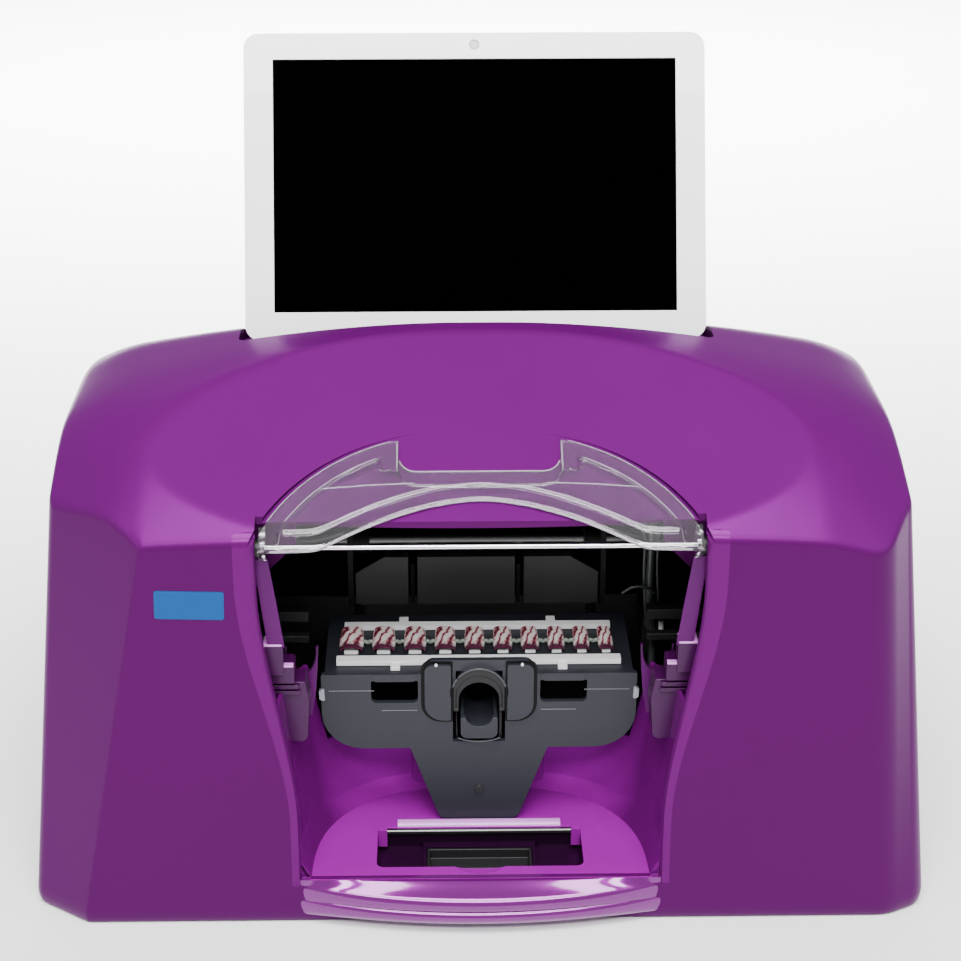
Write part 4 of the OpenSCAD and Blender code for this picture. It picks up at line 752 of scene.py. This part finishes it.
# %% [markdown]
# ## Label
# The left front face carries a small printed label. It is a thin plate with rounded corners, left
# without print, lying on the sloping face.
# %% Label plate
c, s = math.cos(math.radians(-1.6)), math.sin(math.radians(-1.6))
flat = rectangle(-17.4, -7.6, 17.4, 7.6, 1.2) @ np.array([[c, s], [-s, c]]) + [-145.5, 185.2]
rings = np.stack([np.column_stack([flat[:, 0], front_face(flat[:, 1]) + depth, flat[:, 1]])
                  for depth in (0.1, -0.35)])
piece("label_plate", loft(rings), label_blue)
print("label made")

# %% [markdown]
# ## Visor
# The visor is one clear moulding, thin everywhere, so both its faces follow the same height map.
# In plan it is a crescent between a round outer edge and a bell-shaped inner one, with a notch for
# lifting it. A flat flange runs along the outer edge and the middle stands up from it in a step.
# %% Visor shell
VISOR_R, VISOR_HALF, NOTCH_HALF, BELL_HALF, ROD_R = 122, 110, 41, 81, 1.3


def visor_outer(x):
    """Superellipse y = -53 + R (1 - (|x| / R)^2.25)^(1 / 2.25), with the notch's floor at 44.5 and its corners of
    radius 9 inside the notch's half width."""
    arc = -53 + VISOR_R * (1 - (np.abs(x) / VISOR_R) ** 2.25) ** (1 / 2.25)
    corner = 44.5 + 9 - np.sqrt(np.maximum(81 - np.maximum(np.abs(x) - NOTCH_HALF + 9, 0) ** 2, 0))
    return np.where(np.abs(x) < NOTCH_HALF, np.minimum(corner, arc), arc)


def visor_inner(x):
    """Bell curve -3 + 30 g with g = 1 - (|x| / BELL_HALF)^1.75, kept smoothly above zero."""
    g = 1 - (np.abs(x) / BELL_HALF) ** 1.75
    return -3 + 15 * (g + np.sqrt(g * g + 0.006))


half_x = np.concatenate([np.linspace(0, 30, 16), np.linspace(31, 40, 16),
                         [40.6, 40.99, 41.01, 41.4, 42, 43, 44.5],
                         np.linspace(46, 110, 46)])
x = np.concatenate([-half_x[:0:-1], half_x])[:, None]
a = np.linspace(0, np.pi, 44)
s = (1 - np.cos(a))[None] / 2
u = visor_inner(x) + (visor_outer(x) - visor_inner(x)) * s
lean_in = np.cos(np.arctan(1.75 * 30 / BELL_HALF * (np.minimum(np.abs(x), BELL_HALF) / BELL_HALF) ** 0.75))
lean_out = np.where(np.abs(x) < NOTCH_HALF, 1.0, np.sqrt(1 - (x / VISOR_R) ** 2))
from_in, from_out = (u - visor_inner(x)) * lean_in, (visor_outer(x) - u) * lean_out
notch = np.where((np.abs(x) > NOTCH_HALF) & (u > 44), np.abs(x) - NOTCH_HALF, 50)
end = VISOR_HALF - np.abs(x)
near = np.minimum.reduce([from_in + 1, from_out, notch, end + 0 * u])
step_in = np.minimum(np.minimum(from_out, notch), end) - 8
lifted = 1.6 + 4.6 * smooth_step(step_in / 3.4) * smooth_step(from_in / 8.5)
edge = np.clip(1 - near / 0.8, 0, 1)
up = lifted - 0.7 * (1 - np.sqrt(1 - edge ** 2))
down = np.maximum(lifted - 1.9, 0)
shell_rings = np.concatenate([np.dstack([x + 0 * u, u, up]), np.dstack([x + 0 * u, u, down])[:, ::-1]], 1)
points, faces = loft(shell_rings)
ear = rounded([[-3, 1.2], [-2.4, -4], [1.2, -14], [10.6, -14], [12, -3], [12, 1.2]], [0.5, 3, 4, 4, 3, 0.5])
ears = []
for x0, x1 in ((-VISOR_HALF, -106.8), (106.8, VISOR_HALF)):
    bore = prism(circle(ROD_R, 40) + [5.88, -9.73], x0 - 1, x1 + 1, "x")
    ears.append(carve(mesh_from("ear", *prism(ear, x0, x1, "x")), bore))
visor_mesh = bmesh.new()
visor_mesh.from_mesh(mesh_from("visor_shell", points, faces))
for ear_mesh in ears:
    visor_mesh.from_mesh(ear_mesh)
visor_skin = bpy.data.meshes.new("visor_skin")
visor_mesh.to_mesh(visor_skin)
visor_mesh.free()
flat = np.zeros(len(visor_skin.vertices) * 3)
visor_skin.vertices.foreach_get("co", flat)
placed = from_visor(flat.reshape(-1, 3) * 1000 - [0, 0, 1.0]) * 0.001
visor_skin.vertices.foreach_set("co", placed.ravel())
piece("visor_skin", visor_skin, clear, "visor", ["visor"], angle=50)


def visor_line(x, u, height, radius):
    """Thin round bead lying on the visor along points x, u at a height above its flange; its frosted finish paints
    a highlight along the visor's edges and steps.
    """
    return tube(from_visor(np.column_stack([x, u, height - 1.0 + 0 * x])), radius, 10)


bend = np.linspace(-104, 104, 90)
notch_x = np.linspace(-40.6, 40.6, 60)
highlight_beads = [visor_line(bend, visor_inner(bend), 1.35, 0.55),
         visor_line(bend * 0.8, visor_inner(bend * 0.8) + 7.2, 5.6, 0.42),
         visor_line(notch_x, visor_outer(notch_x) - 0.3, 1.3, 0.45)]
for side in (-1, 1):
    highlight_beads += [visor_line(side * np.array([41.8, 41.8, 41.8]), np.array([44.0, 52, 61.5]),
                         np.array([1.6, 1.6, 1.6]), 0.45),
              visor_line(side * np.array([33.0, 56, 79.5]), np.array([34.0, 33, 31]), 6.2 + np.zeros(3), 0.3)]
    run = side * np.linspace(45, 106, 50)
    highlight_beads.append(visor_line(run, visor_outer(run) - 0.3, 1.35 + 0 * run, 0.32))
    run = side * np.linspace(52, 97, 40)
    t = np.abs(run / VISOR_R)
    slope = t ** 1.25 * (1 - t ** 2.25) ** (1 / 2.25 - 1)
    highlight_beads.append(visor_line(run, visor_outer(run) - 9.5 * np.sqrt(1 + slope ** 2), 4.2 + 0 * run, 0.25))
piece("visor_highlight_lines", joined(*highlight_beads), clear_painted_highlight, "visor", angle=60)
rod_low, rod_high = np.array(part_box("visor_rod")) * 1000
rod_at = (rod_low + rod_high) / 2
rod = tube([rod_at + [x, 0, 0] for x in (-110.5, 0, 110.5)], ROD_R, 24)
piece("visor_rod_slim", rod, polished, body_of["visor_rod"], ["visor_rod"], angle=60)
print("visor", len(visor_skin.polygons), "faces, rod at", rod_at.round(1))

# %% [markdown]
# ## Plain parts with softened edges
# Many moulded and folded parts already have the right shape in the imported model, but their edges
# are knife sharp. Each gets a merged copy of its mesh, with flat faces joined again and a small
# rounding on every edge, because real plastic and sheet always catch a thin line of light there.
# %% Softened copies
def soften(name, width, finish_used=None):
    """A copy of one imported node: split points merged, flat neighbours joined, sharp edges rounded by width mm."""
    work = bmesh.new()
    work.from_mesh(nodes[name].data)
    bmesh.ops.remove_doubles(work, verts=work.verts, dist=2e-6)
    bmesh.ops.dissolve_limit(work, angle_limit=math.radians(1), verts=work.verts, edges=work.edges)
    mesh = bpy.data.meshes.new(name + "_soft")
    work.to_mesh(mesh)
    work.free()
    if "custom_normal" in mesh.attributes:
        mesh.attributes.remove(mesh.attributes["custom_normal"])
    soft = piece(name + "_soft", mesh, finish_used or slot_finish[slot_of[name]],
                 body_of[name], [name])
    return round_edges(soft, width)


darker = {"rack_clips": charcoal, "accessory_bin": black_grain, "finger_arch": black_grain,
          "carriage": deep_black, "chassis_top": deep_black, "slot_bar": dark_steel}
for name, width in {
        "display_bezel": 1.3, "display_back": 1.5, "tray_body": 0.9, "finger_arch": 0.5, "finger_cup": 0.6,
        "rack_clips": 0.3, "cartridge_left": 0.6, "cartridge_middle": 0.6, "cartridge_right": 0.6,
        "carriage": 0.4, "bar_clips": 0.4, "accessory_bin": 0.4, "visor_brackets": 0.4, "hinge_bracket": 0.3,
        "chassis_left": 0.3, "chassis_right": 0.3, "chassis_back": 0.3, "chassis_top": 0.3,
        "rail_bracket": 0.3,
        "front_crossbars": 0.4, "rear_panel": 0.4, "power_inlet": 0.4, "power_switch": 0.4,
        "switch_housing": 0.3,
        "base_pan": 0.5, "feet": 0.8, "slot_bar": 0.4, "tongue_screw": 0.3, "rear_screws": 0.4,
        "cap_station": 0.4,
        "fan_frame": 0.4, "camera_lens": 0.2}.items():
    soften(name, width, darker.get(name))
print("softened copies made")

# %% [markdown]
# ## Rack and lines of the tray
# The rack is a light frame: a rail in front, one behind, small tabs to lift it by and a bar under
# each tip. Round the tray's two pads a black sheet paints the shadow in the gap, and lighter grey
# bars paint highlights along the face's bends, under its windows, round the arch and under the cup.
# Boxes with softened edges are enough for the rack, and the highlights are slim round bars.
# %% Rack, joints and bend lines
def box(low, high):
    return prism(rectangle(low[0], low[1], high[0], high[1], 0.4, 3), low[2], high[2])


tips = np.linspace(0, 1, 10)
tip_width, tip_x = 13.4 - 5.2 * tips, -68.5 + 137.5 * (tips + 0.16 * tips * (1 - tips))
rack = [box((-76, -134, 118.8), (76, -127.6, 121.4)), box((-73, -96, 118.8), (73, -91, 121.4))]
for side in (-1, 1):
    rack += [box((side * 44.5 - 2.5, -139.5, 118.8), (side * 44.5 + 2.5, -133, 120.8)),
             box((side * 40.5 - 2.5, -92, 118.8), (side * 40.5 + 2.5, -84.5, 120.8))]
rack += [box((x - w * 0.28, -122, 118.8), (x + w * 0.28, -93, 120.0)) for x, w in zip(tip_x, tip_width)]
rack_soft = piece("tip_rack_soft", joined(*rack), gloss_white, body_of["tip_rack"],
                  ["tip_rack"])
round_edges(rack_soft, 0.35)
# Painted shadow: a black sheet behind each pad shows as a dark ring where the gap round the pad lies in shade.
pad_shadow_sheets = [prism(rounded([[s * 14, 89.2], [s * 30.9, 89.2], [s * 30.9, 126.4], [s * 14, 126.4]][::s],
                        [1, 11, 5, 1][::s]),
                -143.3, -142, "y") for s in (-1, 1)]
piece("pad_painted_shadows", joined(*pad_shadow_sheets), deep_black, body_of["tray_body"])
# Painted highlights: lighter grey bars along a bend and under each window on both sides, and round the arch.
lines = [tube([[s * x0, -143.05, z], [s * (x0 + x1) / 2, -143.05, z], [s * x1, -143.05, z]], 0.4)
         for s in (-1, 1) for x0, x1, z in ((56, 80, 108.6), (33, 52, 96.3))]
a = np.linspace(0.25, np.pi - 0.25, 30)
lines.append(tube(np.column_stack([14.4 * np.cos(a), np.full(30, -145.2), 108.4 + 14.4 * np.sin(a)]), 0.5))
piece("bend_highlight_lines", joined(*lines), painted_highlight_grey, body_of["tray_body"], angle=60)
# Painted highlight: a lighter grey arc under the finger cup, riding with it.
a = np.linspace(-2.5, -0.64, 20)
cup_highlight_line = tube(np.column_stack([14 * np.cos(a), np.full(20, -143.9), 83 + 6 * np.sin(a)]), 0.5)
piece("cup_highlight_line", cup_highlight_line, painted_highlight_grey, body_of["finger_cup"], angle=60)
print("rack, joints and bend lines made")

# %% [markdown]
# ## Nail tips
# Ten press-on tips lie on the rack in falling sizes. Each is a thin arched shell, flatter and
# narrower towards the back. Their print is a generic marbled pattern in pinks and creams with a
# dark front band, made by noise along each tip's own coordinates, so all ten carry the same print.
# %% Tips and their print
def nail_tip(centre, width):
    """Half ellipse across, its height and width easing along the tip; the inside is 0.8 mm smaller."""
    along = np.linspace(0, 1, 15)[:, None]
    q = np.linspace(0, np.pi, 21)[None]
    shape = 0.86 + 0.14 * np.sin(np.pi * (0.15 + 0.85 * along))
    drop = 1 - 0.28 * along ** 2
    front = 1.1 * (1 - np.sin(q)) * (1 - along) ** 4

    def skin(less):
        half, rise = (width / 2 - less) * shape, (width * 0.24 - less * 0.9) * drop
        return np.dstack([centre + half * np.cos(q), -122.6 + 24.4 * along + front * 0.8,
                          120.6 + rise * np.sin(q)])

    return loft(np.concatenate([skin(0), skin(0.8)[:, ::-1]], 1))


tips_mesh = mesh_from("tips", *joined(*[nail_tip(c, w) for c, w in zip(tip_x, tip_width)]))
flat = np.zeros(len(tips_mesh.vertices) * 3)
tips_mesh.vertices.foreach_get("co", flat)
at = flat.reshape(-1, 3) * 1000
which = np.abs(at[:, :1] - tip_x).argmin(1)
uv = np.column_stack([(at[:, 0] - tip_x[which]) / tip_width[which] + 0.5, (at[:, 1] + 122.6) / 24.4])
corner = np.zeros(len(tips_mesh.loops), int)
tips_mesh.loops.foreach_get("vertex_index", corner)
tips_mesh.uv_layers.new(name="print").data.foreach_set("uv", uv[corner].ravel())


def ramp_node(material, source, stops):
    """Colour ramp on a value, from a list of place and colour."""
    ramp = material.node_tree.nodes.new("ShaderNodeValToRGB")
    band = ramp.color_ramp
    while len(band.elements) < len(stops):
        band.elements.new(0.5)
    for element, (place, color) in zip(band.elements, stops):
        element.position = place
        element.color = (*color, 1)
    material.node_tree.links.new(source, ramp.inputs["Fac"])
    return ramp


nail_print = bpy.data.materials.new("nail_print")
nail_print.use_nodes = True
n, l = nail_print.node_tree.nodes, nail_print.node_tree.links
place = n.new("ShaderNodeUVMap")
place.uv_map = "print"
turned = n.new("ShaderNodeMapping")
turned.inputs["Rotation"].default_value = (0, 0, 0.5)
turned.inputs["Scale"].default_value = (0.9, 1.3, 1)
l.new(place.outputs["UV"], turned.inputs["Vector"])
wave = n.new("ShaderNodeTexWave")
for title, value in [("Scale", 0.8), ("Distortion", 11.0), ("Detail", 3.0), ("Detail Scale", 1.3)]:
    wave.inputs[title].default_value = value
l.new(turned.outputs["Vector"], wave.inputs["Vector"])
streaks = ramp_node(nail_print, wave.outputs["Fac"], [
    (0.0, (0.10, 0.015, 0.03)), (0.12, (0.42, 0.10, 0.13)), (0.3, (0.74, 0.36, 0.40)),
    (0.55, (0.86, 0.66, 0.66)),
    (0.8, (0.93, 0.86, 0.80)), (1.0, (0.95, 0.92, 0.90))])
split = n.new("ShaderNodeSeparateXYZ")
l.new(place.outputs["UV"], split.inputs[0])
ripple = n.new("ShaderNodeTexNoise")
ripple.inputs["Scale"].default_value = 6
l.new(place.outputs["UV"], ripple.inputs["Vector"])
shore = n.new("ShaderNodeMath")
shore.operation = "MULTIPLY_ADD"
shore.inputs[1].default_value = 0.35
l.new(ripple.outputs["Fac"], shore.inputs[0])
l.new(split.outputs["Y"], shore.inputs[2])
front_band = ramp_node(nail_print, shore.outputs[0], [(0.30, (0, 0, 0)), (0.42, (1, 1, 1))])
mixed = n.new("ShaderNodeMix")
mixed.data_type = "RGBA"
mixed.inputs["A"].default_value = (0.10, 0.02, 0.05, 1)
l.new(front_band.outputs["Color"], mixed.inputs["Factor"])
l.new(streaks.outputs["Color"], mixed.inputs["B"])
l.new(mixed.outputs["Result"], n["Principled BSDF"].inputs["Base Color"])
n["Principled BSDF"].inputs["Roughness"].default_value = 0.12
n["Principled BSDF"].inputs["Coat Weight"].default_value = 1.0
piece("nail_tips_printed", tips_mesh, nail_print, body_of["nail_tips"], ["nail_tips"],
      angle=50)

holder_green = finish("holder_green", (0.20, 0.24, 0.20), 0.25, depth=0.05, Coat_Weight=0.5)
bumps = []
for left_x, right_x, w0, w1 in zip(tip_x, tip_x[1:], tip_width, tip_width[1:]):
    low_x, high_x = left_x + w0 * 0.42, right_x - w1 * 0.42
    s = np.linspace(0, 1, 17)
    height = 120.9 + 0.9 * np.sin(2 * np.pi * s) ** 2
    bumps.append(tube(np.column_stack([low_x + (high_x - low_x) * s, np.full(17, -113.0), height]), 1.1))
piece("tip_holders", joined(*bumps), holder_green, body_of["nail_tips"], angle=60)
print("nail tips and holders made")

# %% [markdown]
# ## Wires, pins and small trim
# Loose wires hang beside the print head on the right. Each is a round bar along a few points that
# are joined by a smooth curve. Tiny pins, side clips and a raised lip behind the slot are the last
# small things that the photograph shows.
# %% Wires and trim
def smooth_path(points, steps=10):
    """Catmull-Rom curve through the points: each span is a cubic whose slopes come from its neighbours."""
    p = np.asarray(points, float)
    p = np.concatenate([[2 * p[0] - p[1]], p, [2 * p[-1] - p[-2]]])
    t = np.linspace(0, 1, steps, endpoint=False)[:, None]
    spans = [0.5 * (2 * b + (c - a) * t + (2 * a - 5 * b + 4 * c - d) * t ** 2 + (3 * b - a - 3 * c + d) * t ** 3)
             for a, b, c, d in zip(p, p[1:], p[2:], p[3:])]
    return np.concatenate([*spans, p[-2:-1]])


wire_black = finish("wire_black", (0.035, 0.04, 0.04), 0.3, depth=0.05)
wires = [tube(smooth_path(path), radius) for path, radius in [
    ([(91.5, -92, 199), (90.9, -93, 170), (91.0, -93, 150), (93.4, -93, 118)], 1.0),
    ([(95, -93, 199), (94.2, -93, 160), (94.3, -93, 135), (96.4, -93, 110), (97, -92, 84)], 2.1),
    ([(99, -93, 199), (97.8, -93, 162), (99.2, -93, 136), (101.2, -93, 121)], 0.8),
    ([(79, -95, 140.5), (84, -96, 144.4), (90, -96, 144.8), (97, -95, 140.4)], 0.9)]]
piece("hanging_wires", joined(*wires), wire_black, "printer", ["wiring_loom"],
      angle=60)
plug = prism(circle(1.5, 20) + [101.4, -93], 115.6, 121.4)
piece("wire_plug", plug, satin_white, "printer", angle=40)

# Painted highlight: the raised lip behind the slot is painted pale pink for the light along its top.
a = np.linspace(0, np.pi, 17)
slope = np.column_stack([-146.4 + 3.4 * np.cos(a), 25.6 + 2.5 * np.sin(a)])
round_edges(piece("slot_lip", prism(slope, -44.5, 44.5, "x"), painted_highlight_pink), 0.5)
pins = [prism(circle(0.8, 16) + [x, 125.4], -145.9, -144.6, "y") for x in (-22.8, 22.8)]
round_edges(piece("housing_pins", joined(*pins), satin_white, body_of["tray_body"]), 0.25)
clips = [prism(rounded([[s * 82, 103], [s * 85, 104], [s * 85.2, 109], [s * 82.4, 111]], 0.8), -144.4, -141,
               "y")
         for s in (-1, 1)]
round_edges(piece("side_clips", joined(*clips), clip_grey, body_of["tray_body"]), 0.3)
print("wires and trim made")

# %% [markdown]
# ## Floor and light
# The floor is plain and pale. A wide low light in front draws the highlights along the sill, a larger
# one hangs overhead for the dome and the scoop, two weak strips at the sides lift the shoulders, and
# one behind the machine shines down on the ground there, so that the background turns white.
# %% Studio
def soft_light(name, at, towards, wide, high, watts):
    data = bpy.data.lights.new(name, "AREA")
    data.shape = "RECTANGLE"
    data.size, data.size_y, data.energy = wide, high, watts
    light = bpy.data.objects.new(name, data)
    light.location = at
    aim = np.array(towards) - np.array(at)
    turn = math.atan2(aim[0], -aim[1]) + math.pi
    light.rotation_euler = (math.atan2(math.hypot(aim[0], aim[1]), -aim[2]), 0, turn)
    bpy.context.collection.objects.link(light)
    return data


soft_light("front_key", (0, -1.85, 1.95), (0, -0.1, 0.15), 1.5, 0.45, 58)
soft_light("top_key", (0, -1.0, 2.5), (0, -0.1, 0.15), 1.6, 0.9, 92)
soft_light("left_strip", (-1.5, -0.7, 1.2), (0, 0, 0.2), 0.4, 1.4, 8)
soft_light("right_strip", (1.5, -0.7, 1.2), (0, 0, 0.2), 0.4, 1.4, 8)
soft_light("back_wash", (0, 1.6, 1.6), (0, 1.5, 0), 2.4, 1.2, 150).spread = math.radians(80)
world = bpy.data.worlds.new("pale_room")
world.use_nodes = True
world.node_tree.nodes["Background"].inputs["Color"].default_value = (0.95, 0.95, 0.97, 1)
world.node_tree.nodes["Background"].inputs["Strength"].default_value = 0.75
bpy.context.scene.world = world

floor_corners = np.array([[-4000, -4000, 0], [4000, -4000, 0], [4000, 4000, 0], [-4000, 4000, 0.0]])
floor_mesh = mesh_from("floor", floor_corners, [np.array([[0, 1, 2, 3]])])
floor = bpy.data.objects.new("floor", floor_mesh)
bpy.context.collection.objects.link(floor)
floor.data.materials.append(finish("pale_floor", (0.92, 0.92, 0.92), 0.55, depth=0.0, cloud=0.01, size=50))
